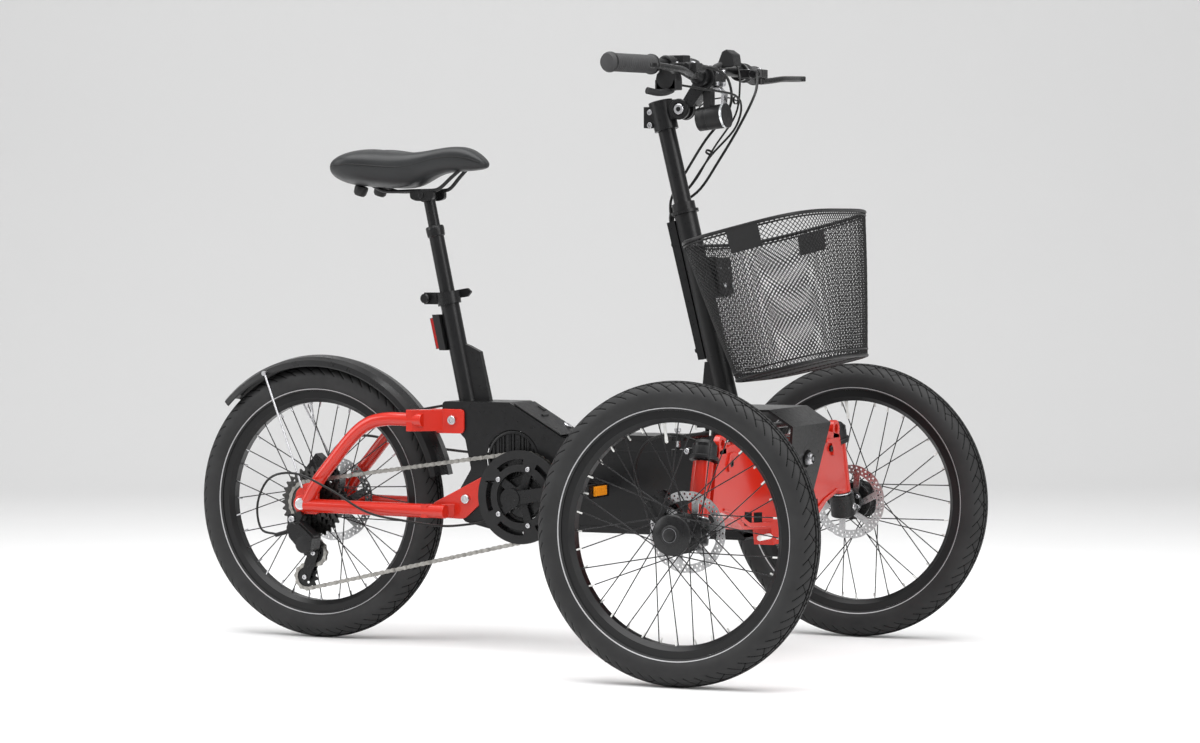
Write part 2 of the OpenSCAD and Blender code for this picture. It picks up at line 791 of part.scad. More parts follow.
// Red cross casting, seen from the front: outline of its left half
module axle_casting() {
    half = [
        [0, 398], [225, 398], [285, 388], [306, 300], [303, 284], [268, 284], [214, 270],
        [170, 247], [50, 240], [42, 210], [0, 210]
    ];
    pocket = [
        [44, 384], [222, 384], [262, 378], [272, 330], [262, 300], [212, 284], [168, 281], [44, 281]
    ];
    boss = 32;
    color(red) from_rear() difference() {
        union() {
            for (s = [-1, 1]) {
                difference() {
                    mirror([0, s < 0 ? 1 : 0, 0]) cross_plate(907, 943) polygon(half);
                    mirror([0, s < 0 ? 1 : 0, 0]) cross_plate(900, 935) polygon(pocket);
                }
            }
            both_sides() rod(king_axis(281), king_axis(372), 18, 48);
            translate([899, 0, tilt_height]) rotate([0, 90, 0]) cylinder(h = 56, r = boss, $fn = 64);
        }
        both_sides() rod(king_axis(260), king_axis(420), king_radius + running, 48);
        both_sides() rod(king_axis(373), king_axis(420), 27, 48);
        both_sides() rod(king_axis(240), king_axis(280), 25, 48);
        translate([880, 0, tilt_height]) rotate([0, 90, 0]) cylinder(h = 100, r = 10.9 + running, $fn = 48);
        both_sides() {
            translate([900, 92, 252]) cube([60, 34, 20]);
            translate([900, 138, 254]) cube([60, 24, 16]);
        }
    }
}

// Kingpin with its lower block, stub axle, top clamp, steering arm and caliper bracket
module knuckle(left) {
    arm_end = king_axis(388);
    color(black) on_side(left) {
        rod(king_axis(240), king_axis(402), king_radius, 48);
        rod(king_axis(236), king_axis(276), 23, 48);
        rod(king_axis(375), king_axis(379), 25, 48);
        rod(king_axis(378), king_axis(402), 21, 48);
        rod([king_x, 335, tyre_radius], [king_x, track / 2 + 29.5, tyre_radius], stub_radius, 48);
        rod([king_x, 335, tyre_radius], [king_x, track / 2 + rotor_place - 5, tyre_radius], 13, 48);
        translate([rod_x, arm_end.y - 9, 381]) cube([steering_arm, 18, 12]);
        translate([rod_x, arm_end.y, 381]) cylinder(h = 12, r = 11, $fn = 32);
        translate([rod_x, arm_end.y, 385]) cylinder(h = 42, r = 3.5, $fn = 32);
        side_plate(352, 358.5) polygon(rounded([
            [king_x - 78, 300], [king_x - 48, 330], [king_x - 5, 275], [king_x - 5, 245], [king_x - 25, 245]
        ], 5));
    }
}

module knuckle_right() {
    knuckle(false);
}

module knuckle_left() {
    knuckle(true);
}

// Disc brake caliper behind the axle, straddling the rotor
module caliper(left) {
    disc = track / 2 + rotor_place;
    color(black) on_side(left) difference() {
        translate([king_x, 0, tyre_radius]) rotate([0, -142, 0])
            translate([48, disc - 13.5, -22]) cube([36, 28, 44]);
        translate([king_x, disc - 2.2, tyre_radius]) about_y() cylinder(h = 4.4, r = front_rotor + 1.5, $fn = 64);
    }
}

module caliper_right() {
    caliper(false);
}

module caliper_left() {
    caliper(true);
}

// Rod between the two steering arms, with a tongue whose pin runs in the steerer's slotted arm
module track_rod() {
    eye = 11.2;
    reach = king_axis(388).y;
    color(black) from_rear() difference() {
        union() {
            rod([rod_x, -reach + 12, rod_height], [rod_x, reach - 12, rod_height], 5.5, 32);
            for (s = [-1, 1]) {
                translate([rod_x, s * reach, rod_height - 4]) cylinder(h = 8, r = 15.5, $fn = 48);
            }
            translate([pin_x, -8, tongue - 3]) cube([rod_x - pin_x, 16, 6]);
            translate([pin_x, 0, tongue - 3]) cylinder(h = 6, r = 8, $fn = 32);
            translate([rod_x - 5, -8, tongue - 3]) cube([10, 16, rod_height - tongue + 3]);
            translate([pin_x, 0, tongue]) cylinder(h = 20, r = 4, $fn = 32);
        }
        for (s = [-1, 1]) {
            translate([rod_x, s * reach, rod_height - 8]) cylinder(h = 16, r = eye, $fn = 48);
        }
    }
}

// --- steering ------------------------------------------------------------------------------

// Steering tube that turns in the head tube, with its collar and its slotted arm
module steerer() {
    foot = column_axis(418);
    slot = [20, 34];
    color(black) from_rear() {
        difference() {
            union() {
                rod(column_axis(416), column_axis(head_top + 6), steerer_radius, 64);
                rod(column_axis(head_top + gap), column_axis(head_top + 6), 25, 64);
                rod(column_axis(head_top + 5), column_axis(collar_top), 21, 64);
            }
            rod(column_axis(500), column_axis(collar_top + 10), column_radius + running, 64);
        }
        difference() {
            flat_plate(414, 422) polygon([
                [foot.x, -12], [foot.x - 30, -21], [foot.x - 62, -21], [foot.x - 68, -14],
                [foot.x - 68, 14], [foot.x - 62, 21], [foot.x - 30, 21], [foot.x, 12]
            ]);
            translate([pin_x - 14, -slot.y / 2, 410]) cube([slot.x, slot.y, 16]);
        }
    }
}

// Telescoping tube with the stem's clamp on its top and one half of the angle joint
module column() {
    color(black) from_rear() difference() {
        union() {
            rod(column_axis(580), column_axis(column_top), column_radius, 64);
            rod(column_axis(948), column_axis(1000), 22, 64);
            translate([680, -13, 952]) cube([24, 26, 38]);
            side_plate(-13, 13) polygon([[712, 962], [746, 970], [751, 985], [742, 1003], [706, 1000]]);
        }
        rod(column_axis(600), column_axis(980), 13, 48);
        translate([hinge.x, -40, hinge.z]) about_y() cylinder(h = 80, r = 6 + running, $fn = 32);
        for (s = [-1, 1]) {
            translate([hinge.x, s * 11 - 4 - gap, hinge.z]) about_y() cylinder(h = 8 + 2 * gap, r = 19, $fn = 48);
        }
    }
}

// Angle-adjustable stem: fork around the joint, arm and bar clamp
module stem() {
    color(black) from_rear() {
        difference() {
            union() {
                for (s = [-1, 1]) {
                    translate([hinge.x, s * 11 - 4, hinge.z]) about_y() cylinder(h = 8, r = 18, $fn = 48);
                }
                side_plate(-15, 15) polygon([[766, 989], [778, 990], [806, 1026], [784, 1040], [758, 1001]]);
                translate([bar_middle.x, -22, bar_middle.z]) about_y() cylinder(h = 44, r = 22, $fn = 48);
            }
            translate([bar_middle.x, -30, bar_middle.z]) about_y() cylinder(h = 60, r = 15.9 + gap, $fn = 48);
            translate([hinge.x, -6.7, hinge.z]) about_y() cylinder(h = 13.4, r = 24, $fn = 48);
        }
    }
    color(silver) from_rear() translate([hinge.x, -18, hinge.z]) about_y() {
        cylinder(h = 36, r = 6, $fn = 32);
        cylinder(h = 3, r = 9, $fn = 32);
    }
}

module handlebar() {
    end = grip_axis(bar_half_width - 2);
    color(black) from_rear() {
        translate([bar_middle.x, -40, bar_middle.z]) about_y() cylinder(h = 80, r = 15.9, $fn = 48);
        both_sides() {
            rod(bar_middle + [0, 38, 0], rise, 12, 32);
            translate(rise) sphere(r = 12 + gap, $fn = 32);
            rod(rise, grip_axis(150), 11, 32);
            translate(grip_axis(150)) sphere(r = 11 + gap, $fn = 32);
            rod(grip_axis(150), end, 11, 32);
        }
    }
}

module grips() {
    color(rubber) from_rear() both_sides() {
        pipe(grip_axis(grip_inner.y), grip_axis(bar_half_width), 16, 11 + 0.1);
        rod(grip_axis(bar_half_width), grip_axis(bar_half_width + 5), 15.5, 32);
    }
}

// Lever perches with master cylinders, shifter housing and display
module control_clamps() {
    color(black) from_rear() {
        both_sides() {
            pipe(grip_axis(152), grip_axis(166), 14.5, 11 + gap);
            difference() {
                union() {
                    translate([804, 126, 1044]) cube([20, 42, 16]);
                    translate([820, 138, 1044]) cube([28, 20, 12]);
                }
                rod(grip_axis(120), grip_axis(180), 13, 32);
                translate([lever_pivot.x, lever_pivot.y, 1040]) cylinder(h = 30, r = 3 + running, $fn = 24);
            }
        }
        difference() {
            translate([790, -196, 1014]) cube([34, 28, 26]);
            translate([812, -182, 1010]) cylinder(h = 20, r = 3, $fn = 24);
        }
        // Display on the left of the stem, on its own clamp
        pipe([800, 24, 1040], [800, 37, 1040], 20, 15.9 + gap);
        rod([800, 31, 1060], [814, 50, 1070], 5, 24);
        side_plate(40, 72) polygon(rounded([[802, 1064], [811, 1088], [820, 1092], [832, 1083], [835, 1064]], 2));
    }
}

// Blade from its pivot under the perch to a round tip in front of the grip
module brake_lever(left) {
    color(satin) on_side(left) {
        translate([lever_pivot.x, lever_pivot.y, 1033]) cylinder(h = 22, r = 3, $fn = 24);
        translate([lever_pivot.x, lever_pivot.y, 1033]) cylinder(h = 10.7, r = 9, $fn = 32);
        rod([838, 148, 1037], [850, 215, 1044], 5.2, 24);
        translate([850, 215, 1044]) sphere(r = 5.8, $fn = 24);
        rod([850, 215, 1044], [846, 322, 1049], 5.2, 24);
        translate([846, 324, 1049]) sphere(r = 9, $fn = 24);
    }
}

module brake_lever_right() {
    brake_lever(false);
}

module brake_lever_left() {
    brake_lever(true);
}

module shift_lever() {
    color(black) from_rear() {
        translate([812, -182, 1003]) cylinder(h = 20, r = 2.95, $fn = 24);
        rod([812, -178, 1008], [800, -232, 1007], 5, 24);
        translate([800, -234, 1007]) sphere(r = 8, $fn = 24);
    }
}

module headlight() {
    color(black) from_rear() {
        rod([784, 0, 966], [834, 0, 972], 21, 48);
        translate([796, -10, 985]) cube([14, 20, 36]);
    }
    color(silver) from_rear() rod([834 + gap, 0, 972], [839, 0, 972.6], 22, 48);
}

// --- basket and cables ---------------------------------------------------------------------

// Tapered basket, leaned with the column: walls, floor and open top
module basket() {
    wall = 3;
    floor_scale = 0.72;
    floor_shift = 8;
    rim_middle = [931, 0, 771];
    rim_power = 3.6;
    count = 40;
    function ring(k, inset, depth, shift = 0) =
        [for (p = superellipse(basket_length / 2 * k - inset, basket_width / 2 * k - inset, rim_power, count))
            [p.x - shift, p.y, -depth]];
    outer = concat(ring(1, 0, 0), ring(floor_scale, 0, basket_depth, floor_shift));
    inner = concat(ring(1.004, wall, -1), ring(floor_scale, wall, basket_depth - wall, floor_shift));
    faces = concat(
        [[for (i = [count - 1 : -1 : 0]) i]],
        [[for (i = [0 : count - 1]) count + i]],
        [for (i = [0 : count - 1]) [i, (i + 1) % count, count + (i + 1) % count, count + i]]
    );
    color(black) from_rear() translate(rim_middle) rotate([0, -column_angle, 0]) difference() {
        polyhedron(outer, faces);
        polyhedron(inner, faces);
    }
}

module basket_bracket() {
    color(black) from_rear() difference() {
        side_plate(-28, 28) polygon([[785, 716], [808, 720], [833.5, 650], [804, 645]]);
        side_plate(-23, 23) polygon([[775, 735], [798.5, 735], [834.9, 635], [780, 635]]);
        rod(column_axis(560), column_axis(810), 20.5 + gap, 64);
    }
}

// Cable routes, smoothed through points chosen along each run
brake_right = [
    [840, -122, 1050], [848, -90, 1046], [852, -36, 1028], [826, 26, 985], [778, 38, 930],
    [750, 30, 880], [722, 14, 826], [727, 2, 792]
];
brake_left = [
    [840, 122, 1050], [852, 100, 1042], [862, 66, 1010], [836, 50, 950], [800, 44, 890],
    [768, 34, 842], [735, 20, 812], [729, 6, 792]
];
shift_front = [
    [814, -163, 1022], [838, -100, 1018], [856, 0, 1004], [836, 40, 955], [784, 42, 900],
    [752, 28, 850], [727, 14, 812], [727, -3, 791]
];
shift_rear = [
    [372, -48, 234], [345, -56, 229], [300, -80, 226], [230, -93, 234], [150, -95, 248], [70, -99, 290],
    [0, -99, 316], [-56, -99, 306], [-84, -97, 258], [-78, -95, 210], [-46, -92, 200]
];
brake_rear = [
    [348, 48, 352], [306, 62, 352], [240, 88, 354], [150, 94, 362], [90, 94, 372], [40, 90, 378],
    [0, 78, 366], [-19, 58, 338]
];

function blend_point(p, i, t) =
    let (a = p[max(i - 1, 0)], b = p[i], c = p[i + 1], d = p[min(i + 2, len(p) - 1)])
    0.5 * (2 * b + (c - a) * t + (2 * a - 5 * b + 4 * c - d) * t * t + (3 * b - a - 3 * c + d) * t * t * t);

function smooth(p, n) =
    concat([for (i = [0 : len(p) - 2]) for (k = [0 : n - 1]) blend_point(p, i, k / n)], [p[len(p) - 1]]);

function frames(t, i, v) =
    i == len(t) ? [] : let (w = unit(v - (v * t[i]) * t[i])) concat([w], frames(t, i + 1, w));

module cable(route, radius) {
    path = smooth(route, 2);
    n = len(path);
    sides = 8;
    dirs = [for (i = [0 : n - 1]) unit(path[min(i + 1, n - 1)] - path[max(i - 1, 0)])];
    first = frames(dirs, 0, [0.3, 0.2, 0.9]);
    points = [for (i = [0 : n - 1]) for (k = [0 : sides - 1])
        path[i] + radius * (cos(360 * k / sides) * first[i] + sin(360 * k / sides) * cross(dirs[i], first[i]))];
    faces = concat(
        [[for (k = [sides - 1 : -1 : 0]) k]],
        [[for (k = [0 : sides - 1]) (n - 1) * sides + k]],
        [for (i = [0 : n - 2]) for (k = [0 : sides - 1])
            [i * sides + k, i * sides + (k + 1) % sides, (i + 1) * sides + (k + 1) % sides, (i + 1) * sides + k]]
    );
    polyhedron(points, faces);
}

module cables() {
    color(black) from_rear() {
        cable(brake_right, 2.5);
        cable(brake_left, 2.5);
        cable(shift_front, 2);
        cable(shift_rear, 2.2);
        cable(brake_rear, 2.5);
    }
}

// --- nodes ---------------------------------------------------------------------------------

frame_box();
front_beam();
seat_tube();
rear_fork();
fasteners();
head_tube();
cable_channel();
nose_bracket();
battery_pack();
motor();
mudguard();
mudguard_stays();
rear_light();
seat_clamp();
seat_clamp_lever();
cover_latch();
basket();
basket_bracket();
rear_caliper();
derailleur();
guide_pulley();
tension_pulley();
chain();
cables();
rear_tyre();
rear_rim();
rear_spokes();
rear_hub_and_disc();  // rear_hub
cassette();
chainring();
cranks();
pedal_right();
pedal_left();
axle_casting();
knuckle_right();
knuckle_left();
caliper_right();
caliper_left();
track_rod();
at_front(false) tyre();  // tyre_right
at_front(false) rim();  // rim_right
at_front(false) spokes(front_flange, 22, -22);  // spokes_right
at_front(false) front_hub();  // hub_right
at_front(true) tyre();  // tyre_left
at_front(true) rim();  // rim_left
at_front(true) spokes(front_flange, 22, -22);  // spokes_left
at_front(true) front_hub();  // hub_left
steerer();
column();
stem();
handlebar();
grips();
control_clamps();
brake_lever_right();
brake_lever_left();
shift_lever();
headlight();
seat_post();
seat_head();
saddle();
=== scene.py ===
"""Visual model of the electric adult tricycle: looks for the CAD frame, a plain studio and a camera."""

from math import asin, atan, atan2, copysign, cos, exp, hypot, pi, radians, sin, sqrt

import bmesh
import bpy
from mathutils import Matrix, Vector


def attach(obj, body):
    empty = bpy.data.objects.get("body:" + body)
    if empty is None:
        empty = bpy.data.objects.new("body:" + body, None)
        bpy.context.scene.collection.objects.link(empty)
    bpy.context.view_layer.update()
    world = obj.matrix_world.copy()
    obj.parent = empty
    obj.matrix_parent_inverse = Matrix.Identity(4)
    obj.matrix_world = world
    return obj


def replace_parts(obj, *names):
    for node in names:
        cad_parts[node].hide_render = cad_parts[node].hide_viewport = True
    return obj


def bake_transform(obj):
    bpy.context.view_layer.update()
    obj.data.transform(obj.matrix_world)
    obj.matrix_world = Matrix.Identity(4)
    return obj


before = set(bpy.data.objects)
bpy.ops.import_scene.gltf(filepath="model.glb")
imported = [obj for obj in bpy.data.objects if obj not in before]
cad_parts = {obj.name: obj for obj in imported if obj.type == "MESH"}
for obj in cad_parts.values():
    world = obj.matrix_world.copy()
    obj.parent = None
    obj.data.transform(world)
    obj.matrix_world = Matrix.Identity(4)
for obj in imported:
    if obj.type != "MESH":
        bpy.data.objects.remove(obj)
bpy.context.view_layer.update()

# Sizes from the CAD source, in millimetres, with x measured from the rear axle.
WHEELBASE = 925
TYRE_RADIUS = 258
TYRE_MIDDLE = 230.5
TYRE_HALF = 27.5
RIM_INSIDE = 188
SPOKES = 36
ROTOR_HOLES = 42
COLUMN_LEAN = 0.242
COLUMN_TILT = atan(COLUMN_LEAN)
SEAT_LEAN = 0.217
PITCH = 12.7
CHAIN_Y = -49
CRANK = (452, 282)
GUIDE = (13, 164)
TENSION = (-6, 118)
COG = (0, 258)
TRACK = 828
ROTOR_Y = TRACK / 2 - 42
SIDES = (("right", -1), ("left", 1))
PEDALS = {"right": (615.1, 306.7), "left": (288.9, 257.3)}
FORK_Y = 74
HINGE = (751, 985)
BAR_MIDDLE = (800, 1040)
LAMP_BACK = (782, 0, 966)
LEVER_PIVOT = (838, 148)


def metres(p):
    return Vector(((p[0] - WHEELBASE / 2) / 1000, p[1] / 1000, p[2] / 1000))


def seat_axis(z):
    return (247 + (765 - z) * SEAT_LEAN, 0, z)


def king_axis(z, side=1):
    return (WHEELBASE, side * (330 - (z - 281) * 0.28), z)


def add(a, b, k=1.0):
    return tuple(x + k * y for x, y in zip(a, b))


# --- materials ---


def new_material(name):
    m = bpy.data.materials.new(name)
    m.use_nodes = True
    tree = m.node_tree
    return m, tree, tree.nodes["Principled BSDF"]


def node(tree, kind, inputs=None, **values):
    n = tree.nodes.new(kind)
    for key, value in values.items():
        setattr(n, key, value)
    for key, value in (inputs or {}).items():
        if isinstance(value, bpy.types.NodeSocket):
            tree.links.new(value, n.inputs[key])
        else:
            n.inputs[key].default_value = value
    return n


def noise(tree, scale, detail=3.0):
    coords = node(tree, "ShaderNodeTexCoord").outputs["Object"]
    return node(tree, "ShaderNodeTexNoise", {"Vector": coords, "Scale": scale, "Detail": detail}).outputs[0]


def span(tree, value, low, high):
    return node(
        tree,
        "ShaderNodeMapRange",
        {"Value": value, "From Min": 0.25, "From Max": 0.75, "To Min": low, "To Max": high},
    ).outputs[0]


def shade(colour, k):
    return (colour[0] * k, colour[1] * k, colour[2] * k, 1)


def material(name, colour, rough, metal=0.0, vary=0.18, patch=35, grain=900, bump=0.06, coat=0.0,
        rough_vary=0.08, texture="noise", distance=0.0004, sheen=0.3):
    """Base colour, roughness and relief that all change a little over the surface."""
    m, tree, shader = new_material(name)
    broad = noise(tree, patch)
    mix = node(tree, "ShaderNodeMix", data_type="RGBA")
    tree.links.new(span(tree, broad, 0, 1), mix.inputs["Factor"])
    mix.inputs["A"].default_value = shade(colour, 1 - vary)
    mix.inputs["B"].default_value = shade(colour, 1 + vary)
    tree.links.new(mix.outputs["Result"], shader.inputs["Base Color"])
    worn = noise(tree, patch * 4.3, 5.0)
    tree.links.new(span(tree, worn, rough - rough_vary, rough + rough_vary), shader.inputs["Roughness"])
    shader.inputs["Metallic"].default_value = metal
    shader.inputs["Specular IOR Level"].default_value = sheen
    shader.inputs["Coat Weight"].default_value = coat
    shader.inputs["Coat Roughness"].default_value = 0.12
    if texture == "cells":
        coords = node(tree, "ShaderNodeTexCoord")
        height = node(
            tree, "ShaderNodeTexVoronoi", {"Vector": coords.outputs["Object"], "Scale": grain},
            feature="DISTANCE_TO_EDGE",
        ).outputs["Distance"]
    else:
        height = noise(tree, grain, 2.0)
    relief = node(tree, "ShaderNodeBump", {"Height": height, "Strength": bump, "Distance": distance})
    tree.links.new(relief.outputs[0], shader.inputs["Normal"])
    return m


M = {
    "frame": material("frame_black", (0.006, 0.006, 0.0065), 0.33, vary=0.15, grain=1400, bump=0.12),
    "red": material("red_paint", (0.50, 0.016, 0.006), 0.24, vary=0.025, patch=5, grain=260, bump=0.015,
        coat=0.5, rough_vary=0.03),
    "alloy": material("black_alloy", (0.008, 0.008, 0.0085), 0.30, vary=0.2, grain=1800, bump=0.08),
    "plastic": material("black_plastic", (0.010, 0.010, 0.0105), 0.45, vary=0.15, grain=1600, bump=0.25),
    "guard": material("mudguard_black", (0.013, 0.013, 0.0135), 0.30, vary=0.12, patch=8, grain=1500,
        bump=0.1),
    "rubber": material("tyre_rubber", (0.019, 0.019, 0.0195), 0.6, vary=0.25, patch=16, grain=1100,
        bump=0.25),
    # Near-black colour put in the tyre grooves, the nose hole and the casting windows: painted shade in
    # recesses.
    "painted_shade": material("groove_painted_shade", (0.004, 0.004, 0.004), 0.8, vary=0.3, patch=16, grain=1100, bump=0.25,
        sheen=0.1),
    "stripe": material("tyre_stripe", (0.42, 0.42, 0.43), 0.45, vary=0.08, grain=2500, bump=0.15),
    "rim": material("rim_black", (0.007, 0.007, 0.0075), 0.30, vary=0.1, patch=9, grain=300, bump=0.01,
        rough_vary=0.03),
    "spoke": material("spoke_black", (0.03, 0.03, 0.031), 0.3, metal=0.7, vary=0.2, grain=1500, bump=0.1),
    "steel": material("bright_steel", (0.62, 0.62, 0.64), 0.28, metal=1.0, vary=0.05, patch=20, grain=500,
        bump=0.01, rough_vary=0.04),
    "disc": material("disc_steel", (0.52, 0.52, 0.53), 0.3, metal=1.0, vary=0.12, patch=90, grain=2200,
        bump=0.15),
    "chain": material("chain_steel", (0.33, 0.32, 0.30), 0.34, metal=1.0, vary=0.3, patch=150, grain=1500,
        bump=0.1),
    "vinyl": material("saddle_vinyl", (0.021, 0.022, 0.023), 0.42, vary=0.12, patch=14, grain=700,
        bump=0.35, texture="cells", distance=0.0003),
    "grip": material("grip_rubber", (0.040, 0.040, 0.041), 0.65, vary=0.15, grain=1700, bump=0.3),
    "wire": material("basket_wire", (0.008, 0.008, 0.0085), 0.40, vary=0.2, patch=60, grain=2500, bump=0.1),
    "sheath": material("cable_sheath", (0.008, 0.008, 0.008), 0.34, vary=0.1, patch=70, grain=2500, bump=0.1),
    "cog": material("cog_steel", (0.075, 0.074, 0.072), 0.33, metal=1.0, vary=0.3, patch=150, grain=1500,
        bump=0.1),
    "lens_red": material("lens_red", (0.32, 0.008, 0.006), 0.16, vary=0.15, patch=200, grain=500, bump=0.3,
        coat=0.6),
    "amber": material("reflector_amber", (0.85, 0.30, 0.015), 0.2, vary=0.18, patch=260, grain=420, bump=0.5,
        texture="cells", coat=0.5),
    "lamp": material("lamp_glass", (0.75, 0.78, 0.80), 0.08, metal=0.6, vary=0.1, patch=160, grain=300,
        bump=0.3, texture="cells"),
    "screen": material("display_screen", (0.006, 0.007, 0.008), 0.08, vary=0.2, patch=30, grain=900,
        bump=0.01, coat=0.8, rough_vary=0.03),
    "grey": material("grey_trim", (0.20, 0.20, 0.21), 0.4, vary=0.1, grain=1500, bump=0.1),
    "white": material("white_nylon", (0.75, 0.75, 0.73), 0.45, vary=0.05, grain=1500, bump=0.1),
}

# --- mesh building ---


class Shape:
    """Vertices in millimetres and faces, gathered into one piece."""

    def __init__(self):
        self.verts, self.faces = [], []

    def put(self, verts, faces):
        start = len(self.verts)
        self.verts += [tuple(v) for v in verts]
        self.faces += [tuple(i + start for i in f) for f in faces]
        return self

    def lathe(self, origin, axis, profile, n=48, closed=False):
        """Turns (radius, height) points round an axis; a radius of 0 closes an end."""
        a = Vector(axis).normalized()
        u = a.orthogonal().normalized()
        w = a.cross(u)
        o = Vector(origin)
        verts, faces, rings = [], [], []
        for r, h in profile:
            if r == 0:
                rings.append([len(verts)])
                verts.append(o + a * h)
                continue
            rings.append(list(range(len(verts), len(verts) + n)))
            for i in range(n):
                t = 2 * pi * i / n
                verts.append(o + a * h + (u * cos(t) + w * sin(t)) * r)
        pairs = list(zip(rings, rings[1:])) + ([(rings[-1], rings[0])] if closed else [])
        for p, q in pairs:
            for i in range(n):
                j = (i + 1) % n
                if len(p) == 1:
                    faces.append((p[0], q[i], q[j])[::-1])
                elif len(q) == 1:
                    faces.append((p[i], p[j], q[0]))
                else:
                    faces.append((p[i], p[j], q[j], q[i]))
        return self.put(verts, faces)

    def rod(self, p, q, r, n=16, round_end=0.0):
        length = (Vector(q) - Vector(p)).length
        e = min(round_end, r * 0.9, length / 2)
        ends = [(0, 0), (r - e, 0), (r, e), (r, length - e), (r - e, length), (0, length)]
        if e == 0:
            ends = [(0, 0), (r, 0), (r, length), (0, length)]
        return self.lathe(p, Vector(q) - Vector(p), ends, n)

    def tube(self, path, r, n=8, closed=False):
        pts = [Vector(p) for p in path]
        count = len(pts)
        verts, faces = [], []
        side = None
        for i, p in enumerate(pts):
            a = pts[(i - 1) % count] if closed or i else pts[0]
            b = pts[(i + 1) % count] if closed or i < count - 1 else pts[-1]
            d = (b - a).normalized()
            side = d.orthogonal() if side is None else side - d * side.dot(d)
            side.normalize()
            other = d.cross(side)
            for k in range(n):
                t = 2 * pi * k / n
                verts.append(p + (side * cos(t) + other * sin(t)) * r)
        for i in range(count if closed else count - 1):
            j = (i + 1) % count
            for k in range(n):
                m = (k + 1) % n
                faces.append((i * n + k, i * n + m, j * n + m, j * n + k))
        if not closed:
            faces.append(tuple(range(n))[::-1])
            faces.append(tuple((count - 1) * n + k for k in range(n)))
        return self.put(verts, faces)

    def prism(self, outline, low, high, plane="xz"):
        """Outline in a plane, thickened along the third axis from low to high."""
        n = len(outline)
        area = sum(outline[i][0] * outline[(i + 1) % n][1] - outline[(i + 1) % n][0] * outline[i][1]
                for i in range(n))
        if area < 0:
            outline = outline[::-1]

        def at(p, w):
            return {"xz": (p[0], w, p[1]), "yz": (w, p[0], p[1]), "xy": (p[0], p[1], w)}[plane]

        verts = [at(p, low) for p in outline] + [at(p, high) for p in outline]
        faces = [tuple(range(n))[::-1], tuple(range(n, 2 * n))]
        faces += [(i, (i + 1) % n, n + (i + 1) % n, n + i) for i in range(n)]
        if plane == "xz":
            faces = [f[::-1] for f in faces]
        return self.put(verts, faces)

    def block(self, centre, size, turn=None):
        c, half = Vector(centre), Vector(size) / 2
        corners = [Vector((x * half.x, y * half.y, z * half.z))
                for x in (-1, 1) for y in (-1, 1) for z in (-1, 1)]
        if turn is not None:
            corners = [turn @ p for p in corners]
        faces = [(0, 1, 3, 2), (4, 6, 7, 5), (0, 4, 5, 1), (2, 3, 7, 6), (0, 2, 6, 4), (1, 5, 7, 3)]
        return self.put([c + p for p in corners], faces)

    def sheet(self, loops, thickness, place):
        """A flat plate with holes: closed loops in (u, v), filled and placed by place(u, v, w)."""
        curve = bpy.data.curves.new("plate", "CURVE")
        curve.dimensions = "2D"
        curve.fill_mode = "BOTH"
        curve.extrude = thickness / 2
        for loop in loops:
            s = curve.splines.new("POLY")
            s.points.add(len(loop) - 1)
            for q, (x, y) in zip(s.points, loop):
                q.co = (x, y, 0, 1)
            s.use_cyclic_u = True
        holder = bpy.data.objects.new("plate", curve)
        bpy.context.collection.objects.link(holder)
        bpy.context.view_layer.update()
        flat = bpy.data.meshes.new_from_object(holder.evaluated_get(bpy.context.evaluated_depsgraph_get()))
        self.put([place(*v.co) for v in flat.vertices], [tuple(f.vertices) for f in flat.polygons])
        bpy.data.objects.remove(holder)
        bpy.data.curves.remove(curve)
        bpy.data.meshes.remove(flat)
        return self

    def piece(self, name, body, mat, slot=None, sharp=35, bevel=0.0, subdivide=0):
        """Makes the mesh object; edges flatter than sharp degrees are shaded smooth."""
        mesh = bpy.data.meshes.new(name)
        mesh.from_pydata([metres(v) for v in self.verts], [], self.faces)
        bm = bmesh.new()
        bm.from_mesh(mesh)
        bmesh.ops.remove_doubles(bm, verts=bm.verts, dist=0.000002)
        bmesh.ops.recalc_face_normals(bm, faces=bm.faces)
        limit = radians(sharp)
        for edge in bm.edges:
            edge.smooth = len(edge.link_faces) == 2 and edge.calc_face_angle() < limit
        for face in bm.faces:
            face.smooth = True
        bm.to_mesh(mesh)
        bm.free()
        mesh.materials.append(M[mat])
        o = bpy.data.objects.new(name, mesh)
        bpy.context.collection.objects.link(o)
        if bevel:
            b = o.modifiers.new("edges", "BEVEL")
            b.width = bevel / 1000
            b.segments = 2
            b.limit_method = "ANGLE"
            b.angle_limit = radians(sharp)
            b.harden_normals = True
        if subdivide:
            s = o.modifiers.new("smooth", "SUBSURF")
            s.levels = s.render_levels = subdivide
        if body:
            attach(o, body)
        return o


def circle(cx, cy, r, n=24, turn=0.0):
    return [(cx + r * cos(turn + 2 * pi * i / n), cy + r * sin(turn + 2 * pi * i / n))
            for i in range(n)]


def rounded(points, r, n=4):
    """Outline with its corners rounded off over a distance r."""
    out = []
    for i, p in enumerate(points):
        p = Vector(p)
        a = p + (Vector(points[i - 1]) - p).normalized() * r
        b = p + (Vector(points[(i + 1) % len(points)]) - p).normalized() * r
        for k in range(n + 1):
            t = k / n
            out.append(tuple(a * (1 - t) ** 2 + p * (2 * t * (1 - t)) + b * t * t))
    return out


def smooth_path(points, steps=6):
    """Catmull-Rom line through points."""
    p = [Vector(q) for q in points]
    p = [2 * p[0] - p[1]] + p + [2 * p[-1] - p[-2]]
    out = []
    for i in range(1, len(p) - 2):
        for k in range(steps):
            t = k / steps
            a, b, c, d = p[i - 1], p[i], p[i + 1], p[i + 2]
            out.append(0.5 * (2 * b + (c - a) * t + (2 * a - 5 * b + 4 * c - d) * t * t
                    + (3 * b - a - 3 * c + d) * t ** 3))
    return out + [p[-2]]


